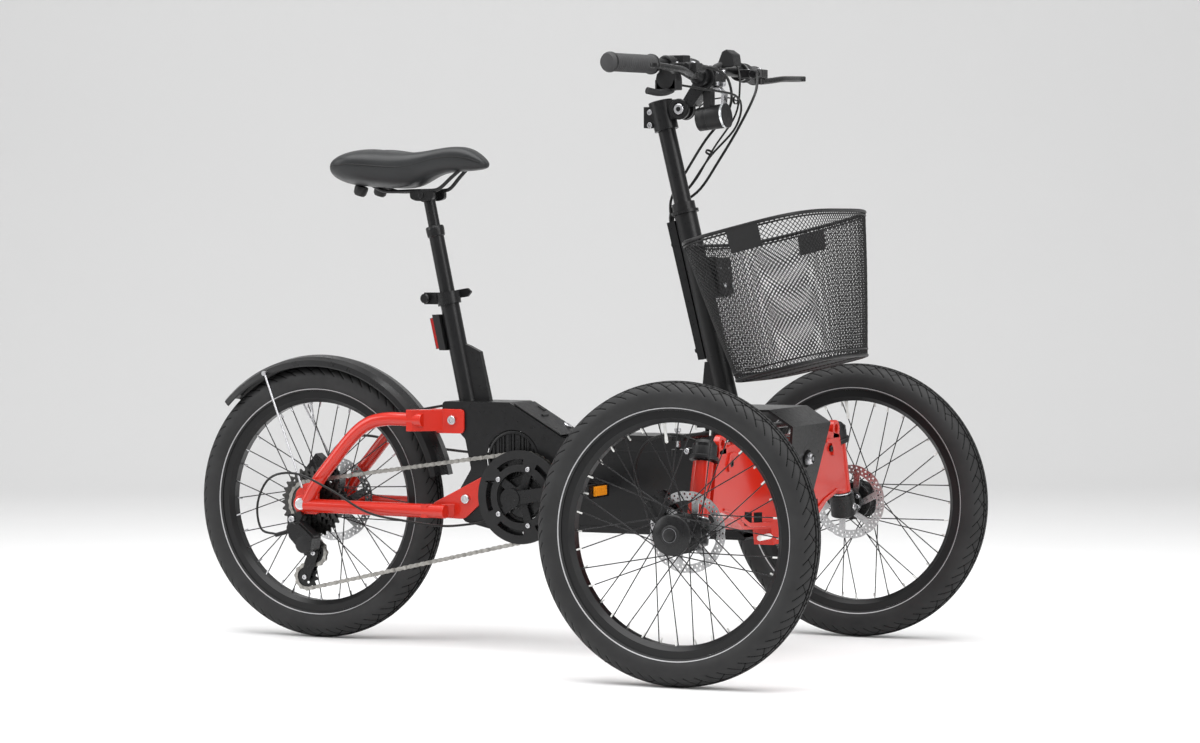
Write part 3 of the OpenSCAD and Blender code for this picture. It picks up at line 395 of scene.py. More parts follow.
def ring_section(inner, outer, low, high):
    """Lathe profile of a ring with a rectangular section."""
    return [(inner, low), (outer, low), (outer, high), (inner, high), (inner, low)]


def sweep(radius, start, end, n=9):
    """Points on an arc about the origin, from start to end degrees."""
    turns = [radians(start + (end - start) * j / (n - 1)) for j in range(n)]
    return [(radius * cos(t), radius * sin(t)) for t in turns]


def bolt_head(shape, centre, axis, r, h):
    """Socket-head bolt: a low cylinder with a recessed hexagon."""
    shape.lathe(centre, axis, [(0, 0), (r, 0), (r, h * 0.85), (r * 0.9, h), (r * 0.52, h)], 24)
    shape.lathe(centre, axis, [(r * 0.52, h), (r * 0.5, h * 0.4), (0, h * 0.4)], 6)
    return shape


# --- materials of the CAD nodes that stay ---

KEPT = {
    "frame": "frame_box front_beam seat_tube head_tube cable_channel nose_bracket basket_bracket steerer "
        "column seat_post handlebar",
    "red": "rear_fork axle_casting",
    "plastic": "battery_pack control_clamps shift_lever headlight cover_latch seat_clamp_lever rear_light",
    "guard": "mudguard",
    "alloy": "motor seat_clamp rear_caliper derailleur cranks knuckle_right knuckle_left caliper_right "
        "caliper_left track_rod stem brake_lever_right brake_lever_left seat_head pedal_right "
        "pedal_left",
    "steel": "fasteners mudguard_stays",
    "rim": "rear_rim rim_right rim_left",
    "spoke": "rear_spokes spokes_right spokes_left",
    "grip": "grips",
}
for key, names in KEPT.items():
    for name in names.split():
        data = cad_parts[name].data
        for i in range(max(1, len(data.materials))):
            if i < len(data.materials):
                data.materials[i] = M[key]
            else:
                data.materials.append(M[key])

# --- wheels ---

TREAD_STEPS = 720
TREAD_ROWS = 42


def groove_depth(i, deg):
    """Depth of the tread pattern at a step round the wheel and an angle from the crown."""
    far = abs(deg)
    lean = round(far / 3.4) + (5 if deg > 0 else 0)
    if any(abs(far - g) < 1.7 for g in (10.2, 23.8)):
        return 1.5
    if 23 < far < 68 and (i + lean) % 10 == 0:
        return 1.9
    if far < 23 and (i - lean) % 10 == 5:
        return 1.4
    if far < 51 and (i - lean) % 20 == 10:
        return 1.2
    return 0.0


def tyre(name, centre, body, node_name):
    """Tyre with a grooved tread, made as a grid of section points round the wheel; the groove faces get a
    near-black material as painted shade.
    """
    section = [k * 141 / TREAD_ROWS for k in range(-TREAD_ROWS, TREAD_ROWS + 1)]
    inner = list(range(132, -133, -24))
    rows = len(section) + len(inner)
    verts, deep = [], []
    for i in range(TREAD_STEPS):
        t = 2 * pi * i / TREAD_STEPS
        for j in range(rows):
            deg = section[j] if j < len(section) else inner[j - len(section)]
            cut = groove_depth(i, deg) if j < len(section) else 0.0
            r = (TYRE_HALF if j < len(section) else 24) - cut
            radius = TYRE_MIDDLE + r * cos(radians(deg))
            verts.append((centre[0] + radius * cos(t), centre[1] + r * sin(radians(deg)),
                    centre[2] + radius * sin(t)))
            deep.append(cut > 0)
    faces = []
    for i in range(TREAD_STEPS):
        m = (i + 1) % TREAD_STEPS
        for j in range(rows):
            k = (j + 1) % rows
            faces.append((i * rows + j, i * rows + k, m * rows + k, m * rows + j))
    o = Shape().put(verts, faces).piece(name, body, "rubber", sharp=50)
    # Faces in the tread grooves get the near-black material: painted shade in the grooves.
    o.data.materials.append(M["painted_shade"])
    dark = [1 if sum(deep[v] for v in f) >= 2 else 0 for f in faces]
    o.data.polygons.foreach_set("material_index", dark)
    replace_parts(o, node_name)
    stripe = Shape()
    for s in (-1, 1):
        band = [(TYRE_MIDDLE + (TYRE_HALF + 0.25) * cos(radians(a)),
                s * (TYRE_HALF + 0.25) * sin(radians(a))) for a in (127, 129, 131)]
        band += [(r, h - s * 0.6) for r, h in band[::-1]]
        stripe.lathe(centre, (0, 1, 0), band, 180, closed=True)
    stripe.piece(name + "_stripe", body, "stripe")


def nipples(name, centre, body, flange, y_out, y_in, mat):
    shape = Shape()
    for i in range(SPOKES):
        angle = 2 * pi * i / SPOKES
        outer, leading = i % 2 == 0, (i // 2) % 2 == 0
        hub = angle + radians(60 if leading else -60)
        s = 1 if outer else -1
        hy = (y_out if outer else y_in) + s * (2.6 if leading else -2.6)
        ry = s * (6 if leading else 3)
        a = (centre[0] + flange * cos(hub), centre[1] + hy, centre[2] - flange * sin(hub))
        b = (centre[0] + RIM_INSIDE * cos(angle), centre[1] + ry,
             centre[2] - RIM_INSIDE * sin(angle))
        d = (Vector(a) - Vector(b)).normalized()
        shape.rod(add(b, d, -1.0), add(b, d, 9.5), 1.6, 10, 0.4)
    t = radians(97)
    base = (centre[0] + RIM_INSIDE * cos(t), centre[1], centre[2] + RIM_INSIDE * sin(t))
    inward = (-cos(t), 0, -sin(t))
    shape.lathe(base, inward, [(3.4, -1), (3.4, 3), (2.4, 4), (2.4, 22), (2.9, 23), (2.9, 33), (0, 35)], 16)
    shape.piece(name, body, mat)


def rotor_loops(radius):
    """Wavy braking ring with two rows of holes, six swept arms and a bolt circle."""
    outer = []
    for i in range(216):
        t = 2 * pi * i / 216
        wave = 1.4 * max(0.0, cos(12 * t)) ** 2
        outer.append(((radius - wave) * cos(t), (radius - wave) * sin(t)))
    loops = [outer]
    for row, (r, shift) in enumerate(((radius - 5, 0.0), (radius - 11, 0.5))):
        for i in range(ROTOR_HOLES):
            t = 2 * pi * (i + shift) / ROTOR_HOLES
            loops.append(circle(r * cos(t), r * sin(t), 2.1 if row == 0 else 1.9, 10))
    rim, core = radius - 16, 25
    for k in range(6):
        loops.append(sweep(rim, 60 * k + 21, 60 * k + 67) + sweep(core, 60 * k + 43, 60 * k + 11))
        t = radians(60 * k + 30)
        loops.append(circle(19 * cos(t), 19 * sin(t), 2.6, 12))
    loops.append(circle(0, 0, 12, 32))
    return loops


def rotor(name, centre, radius, body, side):
    shape = Shape().sheet(rotor_loops(radius), 1.8,
            lambda u, v, w: (centre[0] + u, centre[1] + w, centre[2] + v))
    shape.piece(name, body, "disc", sharp=30)
    bolts = Shape()
    for k in range(6):
        t = radians(60 * k + 30)
        c = add(centre, (19 * cos(t), side * 0.8, 19 * sin(t)))
        bolt_head(bolts, c, (0, side, 0), 4, 3)
    bolts.piece(name + "_bolts", body, "steel")


def front_wheel(tag, side):
    body = tag + "_wheel"
    centre = (WHEELBASE, side * TRACK / 2, TYRE_RADIUS)
    tyre("tyre_grooved_" + tag, centre, body, "tyre_" + tag)
    nipples("nipples_" + tag, centre, body, 34, side * 22, -side * 22, "white")
    axis = (0, side, 0)
    hub = Shape()
    hub.lathe(centre, axis, [
        (8, -43), (20, -43), (20, -41), (19, -40), (19, -27), (34, -25.5), (35, -24.5), (35, -21.5),
        (34, -20.5), (27, -18), (25, -15), (25, 15), (27, 18), (34, 20.5), (35, 21.5), (35, 24.5), (34, 25.5),
        (32, 27), (20, 29), (18, 29.5), (8, 29.5), (8, -43)], 72)
    for k in range(18):
        t = 2 * pi * k / 18
        for h in (-23, 23):
            c = (centre[0] + 31 * cos(t), centre[1] + side * (h - 3.2), centre[2] + 31 * sin(t))
            hub.rod(c, add(c, axis, 6.4), 1.7, 8, 0.4)
    o = hub.piece("hub_shell_" + tag, body, "alloy")
    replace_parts(o, "hub_" + tag)
    cap = Shape().lathe(centre, axis, [
        (17, 29.5), (15, 31.5), (13.5, 32), (12.6, 31.4), (11.6, 31.4), (11, 33.5),
        (9.6, 36.4), (5.5, 38), (0, 38.4)], 48)
    cap.piece("hub_cap_" + tag, body, "plastic")
    ring = Shape().lathe(
        centre, axis, [(11.8, 31.2), (12.6, 31.8), (12.4, 32.6), (11.6, 32.4), (11.8, 31.2)], 48)
    ring.piece("hub_cap_ring_" + tag, body, "grey")
    rotor("rotor_" + tag, (centre[0], side * ROTOR_Y, centre[2]), 70, body, -side)


for tag, side in SIDES:
    front_wheel(tag, side)

REAR = (0, 0, TYRE_RADIUS)
tyre("rear_tyre_grooved", REAR, "rear_wheel", "rear_tyre")
nipples("rear_nipples", REAR, "rear_wheel", 29, 36, -20, "steel")
shell = Shape().lathe(REAR, (0, 1, 0), [
    (6, -22), (17, -22), (28, -21.5), (30, -21), (30, -19), (28, -18), (18, -14), (16, -8), (16, 22),
    (19, 32), (28, 34.5), (30, 35), (30, 37), (28, 38), (20, 40), (20, 49), (12, 51), (12, 60), (9, 63),
    (6, 63), (6, -22)], 64)
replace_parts(shell.piece("rear_hub_shell", "rear_wheel", "alloy"), "rear_hub")
rotor("rear_rotor", (0, 52.1, TYRE_RADIUS), 80, "rear_wheel", 1)

# --- drive ---


def pitch_radius(teeth):
    return PITCH / (2 * sin(pi / teeth))


def sprocket_outline(teeth, turn=0.0):
    """Rounded teeth between chain rollers, centred on the origin."""
    radius = pitch_radius(teeth)
    out = []
    for i in range(teeth):
        for f, r in ((-0.5, -3.9), (-0.36, -3.0), (-0.24, -0.6), (-0.1, 2.6), (0.1, 2.6), (0.24, -0.6),
                (0.36, -3.0)):
            t = turn + 2 * pi * (i + f) / teeth
            out.append(((radius + r) * cos(t), (radius + r) * sin(t)))
    return out


def plate_at(x, y, z):
    return lambda u, v, w: (x + u, y + w, z + v)


def tangent(a, ra, b, rb):
    d = Vector(b) - Vector(a)
    t = atan2(d.y, d.x)
    k = asin((ra - rb) / d.length)
    n = Vector((cos(t + pi / 2 - k), sin(t + pi / 2 - k)))
    return Vector(a) + n * ra, Vector(b) + n * rb


def arc(c, p, q, way, n=40):
    a0 = atan2(p[1] - c[1], p[0] - c[0])
    a1 = atan2(q[1] - c[1], q[0] - c[0])
    turn = (a1 - a0) % (2 * pi) if way > 0 else -((a0 - a1) % (2 * pi))
    r = (Vector(p) - Vector(c)).length
    return [(c[0] + r * cos(a0 + turn * i / n), c[1] + r * sin(a0 + turn * i / n))
            for i in range(n + 1)]


def chain_path():
    ring, cog, pulley = pitch_radius(40), pitch_radius(20), pitch_radius(11)
    top = tangent(COG, cog, CRANK, ring)
    low = tangent(CRANK, ring, TENSION, pulley)
    swap = tangent(TENSION, pulley, GUIDE, -pulley)
    back = tangent(GUIDE, -pulley, COG, cog)
    return (arc(CRANK, top[1], low[0], -1) + arc(TENSION, low[1], swap[0], -1)
            + arc(GUIDE, swap[1], back[0], 1) + arc(COG, back[1], top[0], -1))


def spaced(path, count):
    """count points at equal distances along a closed path."""
    pts = [Vector(p) for p in path]
    pts.append(pts[0])
    lengths = [0.0]
    for p, q in zip(pts, pts[1:]):
        lengths.append(lengths[-1] + (q - p).length)
    out, k = [], 0
    for i in range(count):
        s = lengths[-1] * i / count
        while lengths[k + 1] < s:
            k += 1
        f = (s - lengths[k]) / max(1e-9, lengths[k + 1] - lengths[k])
        out.append(pts[k].lerp(pts[k + 1], f))
    return out, lengths[-1]


def link_plate(a, b, waist, end, n=7):
    """Outline of a chain plate round two pins."""
    d = (b - a).normalized()
    side = Vector((-d.y, d.x))
    out = []
    for i in range(n):
        t = pi * i / (n - 1)
        out.append(tuple(b + end * (side * cos(t) + d * sin(t))))
    out.append(tuple((a + b) / 2 - side * waist))
    for i in range(n):
        t = pi * i / (n - 1)
        out.append(tuple(a - end * (side * cos(t) + d * sin(t))))
    out.append(tuple((a + b) / 2 + side * waist))
    return out


_, chain_length = spaced(chain_path(), 8)
links = 2 * round(chain_length / PITCH / 2)
pins, _ = spaced(chain_path(), links)
chain = Shape()
for i in range(links):
    a, b = pins[i], pins[(i + 1) % links]
    offset = 2.75 if i % 2 else 1.75
    for s in (-1, 1):
        y = CHAIN_Y + s * offset
        chain.prism(link_plate(a, b, 2.7, 4.0), y - 0.4, y + 0.4)
    chain.rod((a.x, CHAIN_Y - 3.2, a.y), (a.x, CHAIN_Y + 3.2, a.y), 1.8, 8)
    chain.rod((a.x, CHAIN_Y - 1.3, a.y), (a.x, CHAIN_Y + 1.3, a.y), 3.8, 12)
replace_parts(chain.piece("chain_links", "frame", "chain", sharp=40), "chain")

ring_loops = [sprocket_outline(40), circle(0, 0, 58, 64)]
ring_loops += [circle(66 * cos(pi * k / 12), 66 * sin(pi * k / 12), 2.6, 12)
        for k in range(0, 24, 2)]
ring = Shape().sheet(ring_loops, 2.2, plate_at(CRANK[0], CHAIN_Y, CRANK[1]))
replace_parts(ring.piece("chainring_teeth", "crank", "alloy", sharp=30), "chainring")
guard_loops = [circle(0, 0, 86, 96), circle(0, 0, 47, 64)]
for k in range(5):
    guard_loops.append(sweep(70, 72 * k + 12, 72 * k + 60) + sweep(60, 72 * k + 60, 72 * k + 12))
guard = Shape().sheet(guard_loops, 3, plate_at(CRANK[0], -62.5, CRANK[1]))
guard.piece("chain_guard", "crank", "plastic", sharp=30, bevel=0.4)
spider = Shape()
star = []
for k in range(5):
    for r, f in ((20, -22), (52, -9), (60, -7), (60, 7), (52, 9), (20, 22)):
        t = radians(72 * k + f)
        star.append((r * cos(t), r * sin(t)))
spider.sheet([star, circle(0, 0, 9.4, 32)], 6, plate_at(CRANK[0], -57, CRANK[1]))
spider.piece("spider", "crank", "alloy", sharp=30, bevel=0.8)
ring_bolts = Shape()
for k in range(5):
    t = radians(72 * k)
    c = (CRANK[0] + 54 * cos(t), -64, CRANK[1] + 54 * sin(t))
    bolt_head(ring_bolts, c, (0, -1, 0), 4.5, 2.5)
    ring_bolts.rod(c, add(c, (0, 14, 0)), 3.5, 12)
ring_bolts.piece("chainring_bolts", "crank", "steel")

cogs = Shape()
for k, teeth in enumerate((11, 13, 15, 18, 20, 24, 28, 32)):
    y = -49 if k == 4 else (-59 + 2.5 * k if k < 4 else -49 + 4.6 * (k - 4))
    turn = pi / 2 + (0 if k == 4 else 0.03 * k)
    shrink = 4.4 if k < 4 else 0
    outline = [(u * (1 - shrink / pitch_radius(teeth)), v * (1 - shrink / pitch_radius(teeth)))
            for u, v in sprocket_outline(teeth, turn)]
    holes = [circle((pitch_radius(teeth) - 10) * cos(2 * pi * j / 8),
            (pitch_radius(teeth) - 10) * sin(2 * pi * j / 8), 3.2, 12)
            for j in range(8)] if teeth > 22 else []
    cogs.sheet([outline, circle(0, 0, 15.5, 40)] + holes, 1.7, plate_at(0, y, TYRE_RADIUS))
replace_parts(cogs.piece("cassette_cogs", "sprockets", "cog", sharp=30), "cassette")
drum = Shape().lathe(
    REAR, (0, -1, 0), [(6, 22), (16, 23), (16, 60), (13, 61), (13, 62.5), (7, 62.5), (6, 22)], 40)
drum.piece("freewheel_drum", "sprockets", "alloy")


def jockey(name, centre, body, node_name):
    loops = [sprocket_outline(11, pi / 2), circle(0, 0, 4, 16)]
    loops += [circle(10.5 * cos(2 * pi * k / 5), 10.5 * sin(2 * pi * k / 5), 3, 12)
            for k in range(5)]
    wheel = Shape().sheet(loops, 2.4, plate_at(centre[0], CHAIN_Y, centre[1]))
    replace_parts(wheel.piece(name, body, "plastic", sharp=30), node_name)


jockey("guide_pulley_teeth", GUIDE, "upper_pulley", "guide_pulley")
jockey("tension_pulley_teeth", TENSION, "lower_pulley", "tension_pulley")

for tag, side in SIDES:
    x, z = PEDALS[tag]
    glow = Shape()
    for f in (-1, 1):
        glow.block((x + f * 47.3, side * 164, z), (3.2, 50, 17))
    glow.piece("pedal_reflectors_" + tag, tag + "_pedal", "amber", bevel=0.6)

# Derailleur: pulley bolts, cage spring housing and cable barrel
trim = Shape()
for p in (GUIDE, TENSION):
    bolt_head(trim, (p[0], -57, p[1]), (0, -1, 0), 4.5, 3)
bolt_head(trim, (-15.8, -86, 229), (0, -1, 0), 6.5, 4)
trim.piece("derailleur_bolts", "frame", "steel")
body_trim = Shape()
body_trim.lathe((13, -64, 184), (0, -1, 0), [
    (0, 0), (17, 0), (18, 2), (18, 30), (15, 34), (6, 35.5), (0, 35.5)], 36)
body_trim.lathe((-13, -64, 212), (0, -1, 0), [(0, 0), (12, 0), (13, 2), (13, 26), (10, 30), (0, 31)], 32)
body_trim.prism([(-20, 222), (2, 226), (34, 200), (28, 176), (6, 182), (-18, 200)], -92, -70)
body_trim.rod((-24, -80, 206), (-50, -92, 198), 4, 14, 1)
body_trim.piece("derailleur_body", "frame", "plastic", bevel=1.2)

# --- chassis details ---

fork = Shape()
for s in (-1, 1):
    y = s * FORK_Y
    fork.tube(smooth_path([(10, y, 262), (34, y, 301), (66, y, 339), (108, y, 386), (142, y, 411),
            (182, y, 420.5), (236, y, 420), (258, y, 420)], 8), 12.6, 24)
    fork.tube([(6, y, 255), (150, y, 253.4), (304, y, 252)], 13, 24)
    fork.lathe((0, s * 61, TYRE_RADIUS), (0, s, 0), [
        (9.6, 0), (14, 0), (17, 3), (17, 18), (14, 20), (6, 20), (6, 3.2), (9.6, 3.2), (9.6, 0)], 32)
    fork.prism(rounded([(-14, 240), (-14, 280), (4, 296), (34, 300), (34, 238)], 8), s * 68, s * 76)
    fork.prism(rounded([(270, 395), (270, 440), (330, 440), (330, 395)], 9), s * 45, s * 50)
    fork.prism(rounded([(262, 264), (372, 319), (366, 269), (330, 237), (268, 239)], 9), s * 45, s * 50)
    fork.prism([(228, s * 61), (228, s * 86), (240, s * 86), (286, s * 50), (286, s * 45)], 399, 439, "xy")
    fork.prism([(258, s * 62), (258, s * 86), (270, s * 86), (310, s * 50), (310, s * 45)], 240, 265, "xy")
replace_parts(fork.piece("rear_fork_smooth", "frame", "red", sharp=30, bevel=1.2), "rear_fork")
ends = Shape()
for s in (-1, 1):
    ends.lathe((0, s * 81.4, TYRE_RADIUS), (0, s, 0), [(0, 0), (11, 0), (11, 1.6), (8.6, 2.4), (0, 2.4)], 32)
ends.piece("axle_washers", "frame", "steel")

details = Shape()
for s in (-1, 1):
    for x, z in ((305.7, 419.6), (333.3, 274.6)):
        bolt_head(details, (x, s * 50.5, z), (0, s, 0), 8.2, 4.5)
for x, z in ((560, 384), (600, 384)):
    bolt_head(details, (x, -45, z), (0, -1, 0), 3.2, 1.6)
details.piece("frame_bolt_heads", "frame", "steel")

seam = Shape()
for s in (-1, 1):
    seam.prism([(552, 368.6), (888, 368.6), (888, 371.2), (552, 371.2)], s * 45, s * 45.8)
    seam.prism([(552, 221), (892, 221), (880, 232), (552, 232)], s * 45, s * 47.5)
    seam.prism([(548, 236), (553, 236), (553, 392), (548, 392)], s * 45, s * 46.2)
seam.prism([(548, 390), (850, 390), (850, 399), (548, 399)], -46, 46)
seam.prism([(700, 216), (886, 216), (890, 221), (700, 221)], -38, 38)
seam.piece("beam_trim", "frame", "frame", bevel=0.6)

slope = atan2(63, 109)
cover = Shape()
turn = Matrix.Rotation(slope, 3, "Y")
cover.block((478, 0, 423.5), (112, 84, 3.2), turn)
cover.block((500, -30, 411), (22, 10, 4), turn)
cover.block((452, 28, 440.5), (16, 12, 4), turn)
cover.piece("motor_cover", "frame", "plastic", bevel=1.0)
lock = Shape().lathe(
    (506, 24, 409), (0.5, 0, 0.866), [(0, 0), (8, 0), (8, 3), (7, 4), (3, 4), (3, 2.6), (0, 2.6)], 28)
lock.piece("cover_lock", "frame", "steel")

fins = Shape()
for k in range(-6, 7):
    w = sqrt(46 ** 2 - (6.4 * k) ** 2)
    x = 428 + 6.4 * k
    for s in (-1, 1):
        fins.prism([(x - 1.2, 350 - w), (x + 1.2, 350 - w), (x + 1.2, 350 + w), (x - 1.2, 350 + w)],
                s * 38, s * 42.5)
for s in (-1, 1):
    fins.lathe((428, s * 38, 350), (0, s, 0), [(47, 0), (52, 0), (52, 5), (50, 6), (47, 6), (47, 0)], 64)
fins.piece("motor_fins", "frame", "alloy")
motor_cap = Shape()
for s in (-1, 1):
    motor_cap.lathe((CRANK[0], s * 43, CRANK[1]), (0, s, 0), [
        (12, 0), (41, 0), (41, 4), (38, 7), (24, 8), (22, 10), (12, 10), (12, 0)], 64)
    for k in range(6):
        t = radians(60 * k + 20)
        c = (CRANK[0] + 33 * cos(t), s * 49.5, CRANK[1] + 33 * sin(t))
        if s > 0:
            bolt_head(motor_cap, c, (0, s, 0), 3, 2)
motor_cap.piece("motor_cap", "frame", "alloy")

# Basket mesh, wound in two directions over the tapered wall
RIM_MIDDLE = (931, 0, 771)
HALF_LENGTH, HALF_WIDTH, DEPTH = 132.5, 192.5, 254
FLOOR_SCALE, FLOOR_SHIFT, POWER = 0.72, 8, 3.6


def rim_point(t):
    c, s = cos(t), sin(t)
    return (copysign(abs(c) ** (2 / POWER), c), copysign(abs(s) ** (2 / POWER), s))


def arc_table(n=1440):
    pts = [rim_point(2 * pi * i / n) for i in range(n + 1)]
    total, out = 0.0, [0.0]
    for p, q in zip(pts, pts[1:]):
        total += hypot((q[0] - p[0]) * HALF_LENGTH, (q[1] - p[1]) * HALF_WIDTH)
        out.append(total)
    return pts, out, total


rim_points, rim_lengths, rim_total = arc_table()


def along_rim(f):
    s = (f % 1.0) * rim_total
    low, high = 0, len(rim_lengths) - 1
    while high - low > 1:
        mid = (low + high) // 2
        if rim_lengths[mid] <= s:
            low = mid
        else:
            high = mid
    g = (s - rim_lengths[low]) / max(1e-9, rim_lengths[high] - rim_lengths[low])
    p, q = rim_points[low], rim_points[high]
    return p[0] + (q[0] - p[0]) * g, p[1] + (q[1] - p[1]) * g


def basket_place(u, v, depth):
    """Basket coordinates: u forward, v left, depth down along the column."""
    c, s = cos(COLUMN_TILT), sin(COLUMN_TILT)
    return (RIM_MIDDLE[0] + u * c + depth * s, v, RIM_MIDDLE[2] + u * s - depth * c)


def wall_point(f, depth, out=0.0):
    k = 1 - (1 - FLOOR_SCALE) * depth / DEPTH
    a, b = along_rim(f)
    bulge = sin(pi * depth / DEPTH) * 1.5
    back = FLOOR_SHIFT * depth / DEPTH
    return basket_place(a * (HALF_LENGTH * k + out + bulge) - back, b * (HALF_WIDTH * k + out + bulge), depth)


mesh = Shape()
WIRES, RISE = 124, 0.235
for i in range(WIRES):
    for way in (-1, 1):
        path = [wall_point(i / WIRES + way * RISE * d / 18, DEPTH * d / 18, 0.5 * way) for d in range(19)]
        mesh.tube(path, 0.72, 5)
for i in range(-13, 14):
    u = i * 7.8
    reach = (1 - abs(u / (HALF_LENGTH * FLOOR_SCALE)) ** POWER)
    if reach > 0:
        v = HALF_WIDTH * FLOOR_SCALE * reach ** (1 / POWER)
        mesh.tube([basket_place(u - FLOOR_SHIFT, w, DEPTH) for w in (-v, v)], 0.8, 5)
for i in range(-18, 19):
    v = i * 8.2
    reach = (1 - abs(v / (HALF_WIDTH * FLOOR_SCALE)) ** POWER)
    if reach > 0:
        u = HALF_LENGTH * FLOOR_SCALE * reach ** (1 / POWER)
        mesh.tube([basket_place(w - FLOOR_SHIFT, v, DEPTH - 1.5) for w in (-u, u)], 0.8, 5)
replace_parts(mesh.piece("basket_mesh", "frame", "wire", sharp=80), "basket")
hoops = Shape()
for depth, r, out in ((0, 3.2, 0), (6, 1.6, 0.8), (DEPTH - 12, 1.6, 0.6), (DEPTH - 1, 3.0, 0)):
    hoops.tube([wall_point(i / 160, depth, out) for i in range(160)], r, 8, closed=True)
for v in (-60, 60):
    reach = HALF_LENGTH * FLOOR_SCALE
    hoops.tube([basket_place(u - FLOOR_SHIFT, v, DEPTH) for u in (-reach, reach)], 2.0, 8)
hoops.piece("basket_hoops", "frame", "wire")
holder = Shape()
wall_turn = Matrix.Rotation(-COLUMN_TILT + 0.11, 3, "Y")
holder.block((833, 0, 686), (3.5, 62, 66), wall_turn)
holder_bolts = Shape()
for y in (-18, 18):
    for dz in (-17, 17):
        p = (833 - dz * 0.33, y, 686 + dz)
        bolt_head(holder_bolts, add(p, (2, 0, 0)), (1, 0, 0.25), 5, 3)
holder.piece("basket_plate", "frame", "plastic", "frame_black", bevel=1.0)
holder_bolts.piece("basket_bolts", "frame", "steel")


def wall_patch(f0, f1, d0, d1, out, n=10):
    """A thin plate bent along the basket wall."""
    verts, faces = [], []
    for i in range(n + 1):
        for j in range(n + 1):
            for k in (0, 1.4):
                verts.append(wall_point(f0 + (f1 - f0) * i / n, d0 + (d1 - d0) * j / n, out + k))

    def at(i, j, k):
        return (i * (n + 1) + j) * 2 + k

    for i in range(n):
        for j in range(n):
            faces.append((at(i, j, 1), at(i + 1, j, 1), at(i + 1, j + 1, 1), at(i, j + 1, 1)))
            faces.append((at(i, j, 0), at(i, j + 1, 0), at(i + 1, j + 1, 0), at(i + 1, j, 0)))
    for i in range(n):
        for j, way in ((0, 1), (n, -1)):
            a, b = (i, i + 1)[::way]
            faces.append((at(a, j, 0), at(b, j, 0), at(b, j, 1), at(a, j, 1)))
            faces.append((at(j, b, 0), at(j, a, 0), at(j, a, 1), at(j, b, 1)))
    return Shape().put(verts, faces)


wall_patch(0.739, 0.792, 1.5, 42, 1.8).piece("right_plate", "frame", "plastic", "frame_black")
wall_patch(0.236, 0.284, 5, 43, -3.2).piece("left_plate", "frame", "plastic", "frame_black")

# --- seat ---

# x, top, bottom, half width of the saddle at stations from rear to nose
STATIONS = [
    (63, 886, 874, 58), (68, 898, 866, 84), (80, 910, 858, 101), (98, 918, 853, 110), (120, 922, 851, 112),
    (142, 922, 849, 106), (165, 919, 848, 92), (188, 916, 847, 74), (210, 915, 850, 57), (232, 917, 860, 45),
    (256, 921, 872, 37), (282, 925, 877, 32), (306, 925, 878, 29), (328, 918, 879, 25), (346, 905, 881, 18),
    (358, 893, 885, 9),
]
saddle = Shape()
AROUND = 40
rings = []
for x, top, bottom, half in STATIONS:
    ring = []
    middle = top - 0.36 * (top - bottom)
    for k in range(AROUND):
        t = 2 * pi * k / AROUND
        cy, cz = cos(t), sin(t)
        y = half * copysign(abs(cy) ** 0.72, cy)
        if cz >= 0:
            z = middle + (top - middle) * abs(cz) ** 0.8
            if 110 < x < 300:
                dip = sin(pi * (x - 110) / 190) * 5.5
                z -= dip * exp(-((y / 11) ** 2))
        else:
            z = middle - (middle - bottom) * abs(cz) ** 0.9
        ring.append((x, y, z))
    rings.append(ring)
verts = [p for ring in rings for p in ring]
faces = []
for i in range(len(rings) - 1):
    for k in range(AROUND):
        m = (k + 1) % AROUND
        faces.append((i * AROUND + k, i * AROUND + m, (i + 1) * AROUND + m, (i + 1) * AROUND + k))
faces.append(tuple(range(AROUND))[::-1])
faces.append(tuple((len(rings) - 1) * AROUND + k for k in range(AROUND)))
saddle.put(verts, faces)
seat_cover = saddle.piece("saddle_cover", "seat", "vinyl", sharp=80, subdivide=2)
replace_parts(seat_cover, "saddle")
edge = Shape()
for s in (-1, 1):
    line = [(x, s * half * 0.985, top - 0.42 * (top - bottom)) for x, top, bottom, half in STATIONS[2:15]]
    edge.tube(smooth_path(line, 4), 1.3, 8)
edge.piece("saddle_seam", "seat", "plastic", "saddle_vinyl")
bumpers = Shape()
for s in (-1, 1):
    bumpers.lathe((112, s * 38, 852), (-0.35, 0, -1), [
        (0, 0), (12, 0), (13, 4), (12, 14), (9, 18), (0, 19)], 28)
bumpers.piece("saddle_bumpers", "seat", "plastic")
Shape().lathe(seat_axis(757), (-SEAT_LEAN, 0, 1), [
    (14.4, 0), (16.4, 2), (16.4, 7), (15.8, 8), (16.9, 9), (17.2, 12), (17.2, 18), (15.5, 20.5), (12, 21),
    (12, 0), (14.4, 0)], 48).piece("seat_post_collar", "post", "alloy")
head = Shape()
head.rod(seat_axis(640), seat_axis(834), 11, 40, 1)
head.rod((231, -21, 834), (231, 21, 834), 12, 32, 3)
for s in (-1, 1):
    jaw = rounded([(207, 829), (207, 843), (256, 843), (256, 828), (244, 824), (219, 824)], 5)
    head.prism(jaw, s * 17, s * 27)
head.rod((231, -30, 834), (231, 30, 834), 5.5, 20, 1)
stanchion = head.piece("seat_clamp_head", "seat", "alloy", bevel=1.2)
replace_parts(stanchion, "seat_head")
rails = Shape()
for s in (-1, 1):
    rails.tube(smooth_path([(110, s * 25, 862), (128, s * 23.5, 853), (150, s * 22, 843.5),
            (175, s * 22, 842), (215, s * 22, 843), (252, s * 22, 843.5), (268, s * 21, 848),
            (290, s * 16, 868),
            (318, s * 10, 892)], 6), 3.5, 14)
rails.piece("seat_rails", "seat", "spoke")

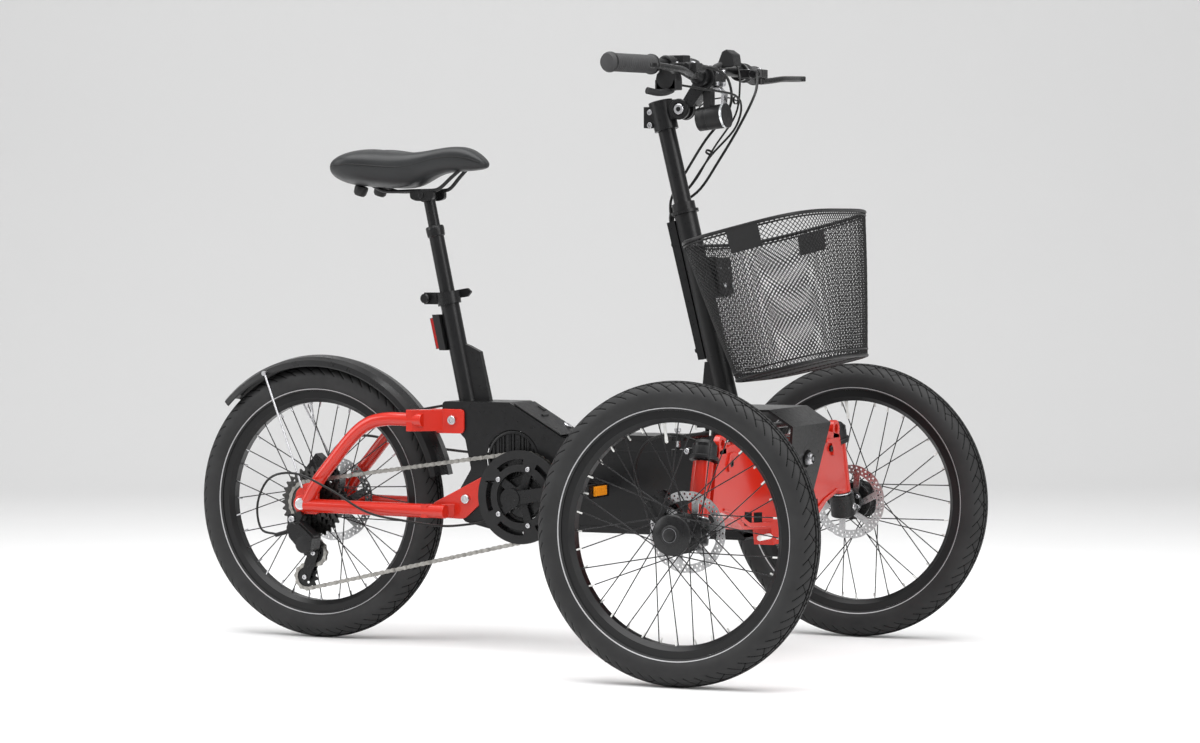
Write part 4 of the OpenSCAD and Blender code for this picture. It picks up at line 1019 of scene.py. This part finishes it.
lens = Shape().prism([(240.6, 605), (247.8, 608), (260.9, 550), (254.5, 549)], -14.4, 14.4)
lens.piece("rear_lens", "frame", "lens_red", bevel=1.5)
barrel = Shape().lathe((232, -13, 643), (0, -1, 0), [(0, 0), (8.5, 0), (9, 1), (9, 5), (7, 7), (0, 7)], 28)
barrel.piece("clamp_nut", "frame", "alloy")

# --- front axle ---

for tag, side in SIDES:
    up = Vector(king_axis(1, side)) - Vector(king_axis(0, side))
    up.normalize()
    Shape().lathe(king_axis(376, side), up, [
        (0, 0), (24, 0), (25.5, 1.5), (25.5, 5), (24, 6.5), (21.5, 7), (21.5, 20), (20.5, 24), (18.8, 24.5),
        (18, 30), (15, 33.5), (8, 35), (0, 35.3)], 48).piece("king_cap_" + tag, tag + "_knuckle", "plastic")
    low = Shape()
    low.lathe(king_axis(234.5, side), up, [
        (0, 0), (20, 0), (23.4, 2), (23.4, 38), (21.5, 40.5), (20, 40.5), (20, 43), (0, 43)], 48)
    c = Vector(king_axis(252, side)) + Vector((20.5, 0, 0))
    low.piece("king_block_" + tag, tag + "_knuckle", "alloy")
    grub = bolt_head(Shape(), c, (1, 0, 0), 7, 4)
    grub.piece("king_screw_" + tag, tag + "_knuckle", "steel")
    seal = Shape().lathe(king_axis(277.5, side), up, ring_section(15, 19.5, 0, 2), 40)
    seal.piece("king_seal_" + tag, tag + "_knuckle", "steel")
    lug = Shape().block(add(king_axis(390, side), (-27, 0, 0)), (14, 14, 12))
    lug.piece("arm_lug_" + tag, tag + "_knuckle", "alloy", bevel=1.5)
    pinch = bolt_head(Shape(), add(king_axis(391, side), (-28, side * 9.5, 0)), (0, side, 0), 5, 4)
    pinch.piece("arm_bolt_" + tag, tag + "_knuckle", "steel")
    joint = Shape()
    x, y = 875, side * (330 - (388 - 281) * 0.28)
    joint.lathe((x, y, 397), (0, 0, 1), [(0, 0), (4, 0), (4, 26), (5.5, 27), (5.5, 32), (0, 33)], 24)
    joint.piece("rod_joint_" + tag, tag + "_knuckle", "steel")
    # Casting: a round eye at its top edge, a rib, and the small bolt
    cast = Shape()
    hook = [(side * (262 + 17 * cos(t)), 400 + 17 * sin(t))
            for t in [radians(a) for a in range(-30, 211, 20)]]
    loops = [hook + [(side * 246, 384), (side * 278, 384)], circle(side * 262, 401, 8, 20)]
    cast.sheet(loops, 12, lambda u, v, w: (937 + w, u, v))
    cast.prism([(side * 225, 386), (side * 236, 384), (side * 246, 366), (side * 243, 352), (side * 237, 353),
            (side * 238, 364), (side * 230, 376), (side * 206, 378), (side * 206, 384)], 942, 947, "yz")
    cast.prism([(side * 52, 252), (side * 150, 258), (side * 200, 277), (side * 262, 291), (side * 262, 287),
            (side * 204, 272), (side * 155, 251), (side * 52, 244)], 942, 946, "yz")
    cast.piece("casting_ribs_" + tag, "front_axle", "red", bevel=1.4)
    dark = bolt_head(Shape(), (943, side * 230, 366), (1, 0, 0), 6, 4)
    dark.piece("casting_bolt_" + tag, "front_axle", "alloy")

pin = Shape().lathe(
    (997, 0, 362), (1, 0, 0), [(0, 0), (10, 0), (10, 3), (8.5, 6), (4, 6), (4, 3), (0, 3)], 36)
pin.piece("tilt_bolt_head", "frame", "steel")
# A flat near-black ring round the tilt bolt: painted shade in the hole.
hole = Shape().lathe((991, 0, 362), (0.986, 0, -0.166), ring_section(9, 16, 0.6, 1.4), 48)
hole.piece("nose_hole_shade", "frame", "painted_shade", "frame_black")
# Thin near-black plates on the casting face: painted shade standing for recessed windows.
recess = Shape()
for s in (-1, 1):
    recess.prism([(s * 92, 250), (s * 128, 250), (s * 128, 274), (s * 92, 272)], 942.8, 943.5, "yz")
    recess.prism([(s * 138, 250), (s * 170, 254), (s * 168, 278), (s * 138, 275)], 942.8, 943.5, "yz")
recess.piece("casting_window_shade", "front_axle", "painted_shade", "red_paint")
lock_pin = Shape()
lock_pin.rod((938, -92, 226), (938, -42, 226), 5.2, 18, 1.5)
lock_pin.rod((938, -40, 222), (938, -8, 222), 3.4, 14, 0.8)
lock_pin.piece("lock_pin", "front_axle", "white")

# --- bars ---


def grip_axis(y):
    return (784 - (abs(y) - 200) * 0.24, y, 1057)


for tag, side in SIDES:
    direction = Vector(grip_axis(side * 300)) - Vector(grip_axis(side * 200))
    direction.normalize()
    grip = Shape()
    prof = [(11.3, 0), (17.2, 0), (17.6, 1), (17.6, 7), (16.2, 8)]
    h = 10
    while h < 112:
        prof += [(16.1, h), (16.1, h + 3.2), (15.6, h + 3.8), (15.6, h + 4.4)]
        h += 5
    prof += [(16.2, 114), (17.6, 115), (17.8, 121), (16.8, 124), (14.5, 127.5), (6, 129), (0, 129)]
    grip.lathe(grip_axis(side * 200), direction, prof, 48)
    g = grip.piece("grip_ribbed_" + tag, "bars", "grip", sharp=30)
    if side > 0:
        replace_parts(g, "grips")
    rings = Shape()
    for h in (3, 116.5):
        rings.lathe(add(grip_axis(side * 200), direction, h), direction,
                ring_section(16, 18.0, 0, 3.4), 40)
    rings.piece("grip_rings_" + tag, "bars", "alloy")
    perch = Shape()
    perch.lathe(grip_axis(side * 150), direction, ring_section(12, 17, 0, 18), 32)
    perch.prism([(806, side * 124), (836, side * 120), (850, side * 134), (850, side * 160),
            (826, side * 172), (804, side * 172)], 1044, 1060, "xy")
    perch.rod((840, side * 112, 1051), (834, side * 172, 1053), 8.5, 20, 2)
    perch.piece("lever_perch_" + tag, "bars", "alloy", bevel=2.0)
    bolts = Shape()
    bolt_head(bolts, (LEVER_PIVOT[0], side * LEVER_PIVOT[1], 1060), (0, 0, 1), 5, 2.5)
    bolt_head(bolts, (812, side * 160, 1060), (0, 0, 1), 3.2, 2)
    bolts.piece("perch_bolts_" + tag, "bars", "steel")
    blade = Shape().tube(smooth_path([
        (840, side * 152, 1038), (846, side * 185, 1041), (852, side * 222, 1045), (851, side * 270, 1047),
        (847, side * 322, 1049)], 5), 5.6, 10)
    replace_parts(blade.piece("lever_blade_" + tag, tag + "_lever", "alloy"), "brake_lever_" + tag)
    knob = Shape()
    knob.lathe((847, side * 326, 1044.5), (0, 0, 1), [
        (0, 0), (8, 0), (9, 1.5), (9, 8), (8, 9.5), (3, 9.5), (3, 7.5), (0, 7.5)], 28)
    pivot = (LEVER_PIVOT[0], side * LEVER_PIVOT[1], 1033)
    knob.rod(pivot, add(pivot, (0, 0, 10.5)), 9, 24)
    knob.piece("lever_knob_" + tag, tag + "_lever", "alloy")

pod = Shape()
pod.lathe((806, -166, 1030), (0, -1, 0), [(0, 0), (18, 0), (20, 3), (20, 26), (17, 30), (0, 31)], 40)
pod.prism([(786, -196), (826, -196), (830, -182), (826, -168), (790, -168)], 1012, 1030, "xy")
pod.piece("shifter_pod", "bars", "plastic", bevel=1.5)
paddle = Shape()
paddle.tube(smooth_path([
    (812, -184, 1012), (808, -200, 1008), (800, -218, 1007), (790, -236, 1010)], 5), 6.2, 14)
paddle.rod((812, -182, 1008), (812, -182, 1026), 5, 16, 1)
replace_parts(paddle.piece("shift_paddle", "shifter", "plastic", sharp=60), "shift_lever")
window = Shape().block((804, -182, 1052), (20, 22, 6), Matrix.Rotation(-0.3, 3, "Y"))
window.piece("gear_window", "bars", "screen", bevel=1.5)

remote = Shape()
remote.prism([(776, -120), (806, -118), (812, -104), (806, -88), (780, -86)], 1060, 1076, "xy")
remote.rod((785, -122, 1058), (785, -86, 1058), 15, 24, 2)
remote.piece("remote_pod", "bars", "plastic", bevel=3)
bell = Shape().lathe(
    (793, -62, 1052), (0.2, 0, 1), [(13, 0), (17, 3), (19, 8), (18, 14), (13, 19), (6, 21), (0, 21.5)], 32)
bell.piece("bell", "bars", "alloy")

clamp = Shape()
for y in (-1, 1):
    clamp.lathe((BAR_MIDDLE[0], y * 22.5, BAR_MIDDLE[1]), (0, -y, 0), [
        (16, 0), (21, 0), (23, 1.5), (23, 12), (16, 12), (16, 0)], 48)
clamp.block((822, 0, 1040), (6, 42, 30))
clamp.piece("bar_clamp_face", "bars", "alloy", bevel=1)
face_bolts = Shape()
for y in (-14, 14):
    for dz in (-11, 11):
        bolt_head(face_bolts, (825, y, 1040 + dz), (1, 0, 0), 4, 3)
for z in (957, 980):
    bolt_head(face_bolts, (693, -13, z), (0, -1, 0), 5, 4)
face_bolts.piece("stem_bolts", "bars", "steel")
hinge_bolt = Shape()
hinge_ring = Shape()
for s in (-1, 1):
    face = (HINGE[0], s * 15, HINGE[1])
    hinge_bolt.lathe(face, (0, s, 0), [
        (0, 0), (9.5, 0), (9.5, 3.4), (8.6, 4.2), (4.5, 4.2), (4.5, 2), (0, 2)], 40)
    hinge_ring.lathe(face, (0, s, 0), [
        (9.9, 0), (18.6, 0), (19, 1), (17.5, 3.6), (12, 3.6), (10.2, 1.6), (9.9, 0)], 40)
hinge_bolt.piece("stem_hinge_bolt", "bars", "steel")
hinge_ring.piece("stem_hinge_ring", "bars", "alloy")

case = Shape()
case.prism([
    (801, 1063), (811, 1089), (820, 1093), (833, 1084), (836, 1063), (828, 1060), (806, 1060)], 39, 73)
case.rod((800, 31, 1060), (814, 50, 1070), 5.4, 20)
case.lathe((800, 23, 1040), (0, 1, 0), ring_section(16.2, 20.5, 0, 15), 40)
case.piece("display_case", "bars", "plastic", bevel=2.5)
glass = Shape().prism([(801.6, 1067), (809.8, 1086.5), (809.2, 1086.8), (801, 1067.3)], 43, 69)
glass.piece("display_glass", "bars", "screen", bevel=0.2)

light = Shape()
axis = (0.993, 0, 0.119)
light.lathe(LAMP_BACK, axis, [
    (0, 0), (14, 1), (19, 5), (21.4, 10), (21.4, 18), (20.8, 19), (20.8, 21), (21.6, 22), (21.8, 50),
    (20, 51)], 48)
light.piece("headlight_shell", "bars", "plastic")
glass = Shape().lathe(LAMP_BACK, axis, [
    (21.8, 50), (22.4, 51), (22.4, 54.5), (20.5, 55.5), (19.5, 53.4), (12, 52.4), (0, 52)], 48)
glass.piece("headlight_glass", "bars", "lamp")
strap = Shape().prism([
    (829, 985), (834, 985), (836, 1012), (826, 1022), (815, 1024), (815, 1020), (824, 1018),
    (831, 1010)], -9, 9)
strap.piece("headlight_strap", "bars", "steel", bevel=0.5)

# --- cables ---


def cable(name, points, r, splits=(), bodies=("frame",), steps=6):
    """A cable, cut where it passes from one body to the next; with several bodies the pieces are left
    unattached.
    """
    path = smooth_path(points, steps)
    cuts = [0] + [s * steps for s in splits] + [len(path) - 1]
    made = []
    for k, (a, b) in enumerate(zip(cuts, cuts[1:])):
        part = path[a:b + 1]
        tag = f"{name}_{k}" if len(cuts) > 2 else name
        o = Shape().tube(part, r, 10).piece(tag, None if len(bodies) > 1 else bodies[0], "sheath")
        if len(bodies) > 1:
            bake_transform(o)
        made.append(o)
    return made


STEERED = ("bars", "telescope", "steering", "frame")
first = cable("brake_hose_right", [
    (842, -120, 1052), (852, -92, 1052), (858, -40, 1034), (832, 26, 988), (780, 36, 930),
    (752, 25, 882), (725, 10, 828), (727, 2, 790), (733, 1, 768)], 2.5, (4, 6), STEERED)
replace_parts(first[0], "cables")
cable("brake_hose_left", [
    (842, 120, 1052), (854, 100, 1046), (864, 66, 1012), (838, 52, 952), (802, 44, 892),
    (770, 34, 842), (735, 20, 812), (729, 6, 790), (734, 4, 768)], 2.5, (4, 6), STEERED)
cable("shift_cable", [
    (816, -163, 1022), (838, -104, 1016), (860, 0, 1004), (838, 42, 955), (786, 42, 900),
    (754, 30, 850), (727, 14, 812), (727, -3, 790), (732, -3, 768)], 2.0, (3, 6), STEERED)
cable("display_wire", [
    (830, 56, 1068), (838, 52, 1056), (846, 40, 1030), (840, 34, 975), (796, 36, 915),
    (764, 30, 860), (730, 16, 815), (730, 0, 790), (735, 0, 768)], 1.8, (3, 6), STEERED)
cable("light_wire", [(786, 4, 984), (776, 20, 990), (790, 34, 1002), (820, 40, 1006), (840, 40, 1000)], 1.3,
      (), ("bars",))
cable("shift_rear", [
    (372, -48, 234), (345, -56, 229), (300, -80, 226), (230, -93, 234), (150, -95, 248), (70, -99, 290),
    (0, -99, 316), (-56, -99, 306), (-84, -97, 258), (-78, -95, 210), (-46, -92, 200)], 2.2)
cable("brake_rear", [
    (348, 48, 352), (306, 62, 352), (240, 88, 354), (150, 94, 362), (90, 94, 372), (40, 90, 378),
    (0, 78, 366), (-19, 58, 338)], 2.5)
for tag, side in SIDES:
    hose = smooth_path([
        (856, side * 350, 296), (826, side * 342, 312), (810, side * 334, 360), (826, side * 324, 404),
        (864, side * 312, 419), (900, side * 296, 411), (922, side * 276, 394)], 6)
    o = Shape().tube(hose, 2.4, 10).piece("front_hose_" + tag, None, "sheath")
    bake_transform(o)
ties = Shape()
for p, q in (((838, 40, 1001), (846, 38, 1001)), ((786, 39, 908), (790, 37, 914))):
    ties.lathe(p, Vector(q) - Vector(p), ring_section(6.5, 7.5, -2, 2), 20)
ties.piece("cable_ties", "bars", "plastic")

# --- studio ---

floor = bpy.data.meshes.new("studio_floor")
profile = [(4.5, 0.0)]
for k in range(25):
    t = pi / 2 * k / 24
    profile.append((-4.0 - 2.5 * sin(t), 2.5 - 2.5 * cos(t)))
profile.append((-6.5, 7.0))
width = 14.0
verts = []
for d, z in profile:
    verts += [(-width, -d, z), (width, -d, z)]
faces = [(2 * i, 2 * i + 1, 2 * i + 3, 2 * i + 2) for i in range(len(profile) - 1)]
floor.from_pydata(verts, [], faces)
floor.polygons.foreach_set("use_smooth", [True] * len(floor.polygons))
M["floor"] = material("studio_floor", (0.84, 0.84, 0.84), 0.55, vary=0.01, patch=0.6, grain=60, bump=0.01)
floor.materials.append(M["floor"])
stage = bpy.data.objects.new("studio_floor", floor)
stage.rotation_euler.z = radians(25.5)
bpy.context.collection.objects.link(stage)

world = bpy.data.worlds.new("studio")
world.use_nodes = True
world.node_tree.nodes["Background"].inputs[0].default_value = (1, 1, 1, 1)
world.node_tree.nodes["Background"].inputs[1].default_value = 0.5
bpy.context.scene.world = world
bpy.context.scene.view_settings.view_transform = "Standard"


def area_light(name, place, target, size, power):
    data = bpy.data.lights.new(name, "AREA")
    data.shape = "RECTANGLE"
    data.size, data.size_y = size
    data.energy = power
    o = bpy.data.objects.new(name, data)
    o.location = place
    o.rotation_euler = (Vector(target) - Vector(place)).to_track_quat("-Z", "Y").to_euler()
    bpy.context.collection.objects.link(o)


area_light("top_light", (0.2, -0.6, 3.4), (0, 0, 0.3), (4.0, 3.6), 190)
area_light("left_light", (-3.6, -2.2, 2.2), (0, 0, 0.5), (2.2, 3.0), 70)
area_light("right_light", (3.8, -1.0, 2.0), (0, 0, 0.5), (2.2, 3.0), 75)

# Camera: angle, place and lens found from the outlines of the three wheels
AZIMUTH, ELEVATION, ROLL = radians(25.543), radians(2.258), radians(-0.216)
back = Vector((sin(AZIMUTH) * cos(ELEVATION), -cos(AZIMUTH) * cos(ELEVATION),
        sin(ELEVATION)))
right = (-back).cross(Vector((0, 0, 1))).normalized()
top = right.cross(-back)
x_axis = right * cos(ROLL) + top * sin(ROLL)
y_axis = top * cos(ROLL) - right * sin(ROLL)
place = Vector((2.91945, -5.85352, 0.76710))
lens_data = bpy.data.cameras.new("camera")
lens_data.sensor_width = 36
lens_data.lens = 106.875
camera = bpy.data.objects.new("camera", lens_data)
camera.matrix_world = Matrix((
    (x_axis.x, y_axis.x, back.x, place.x),
    (x_axis.y, y_axis.y, back.y, place.y),
    (x_axis.z, y_axis.z, back.z, place.z),
    (0, 0, 0, 1)))
bpy.context.collection.objects.link(camera)
bpy.context.scene.camera = camera
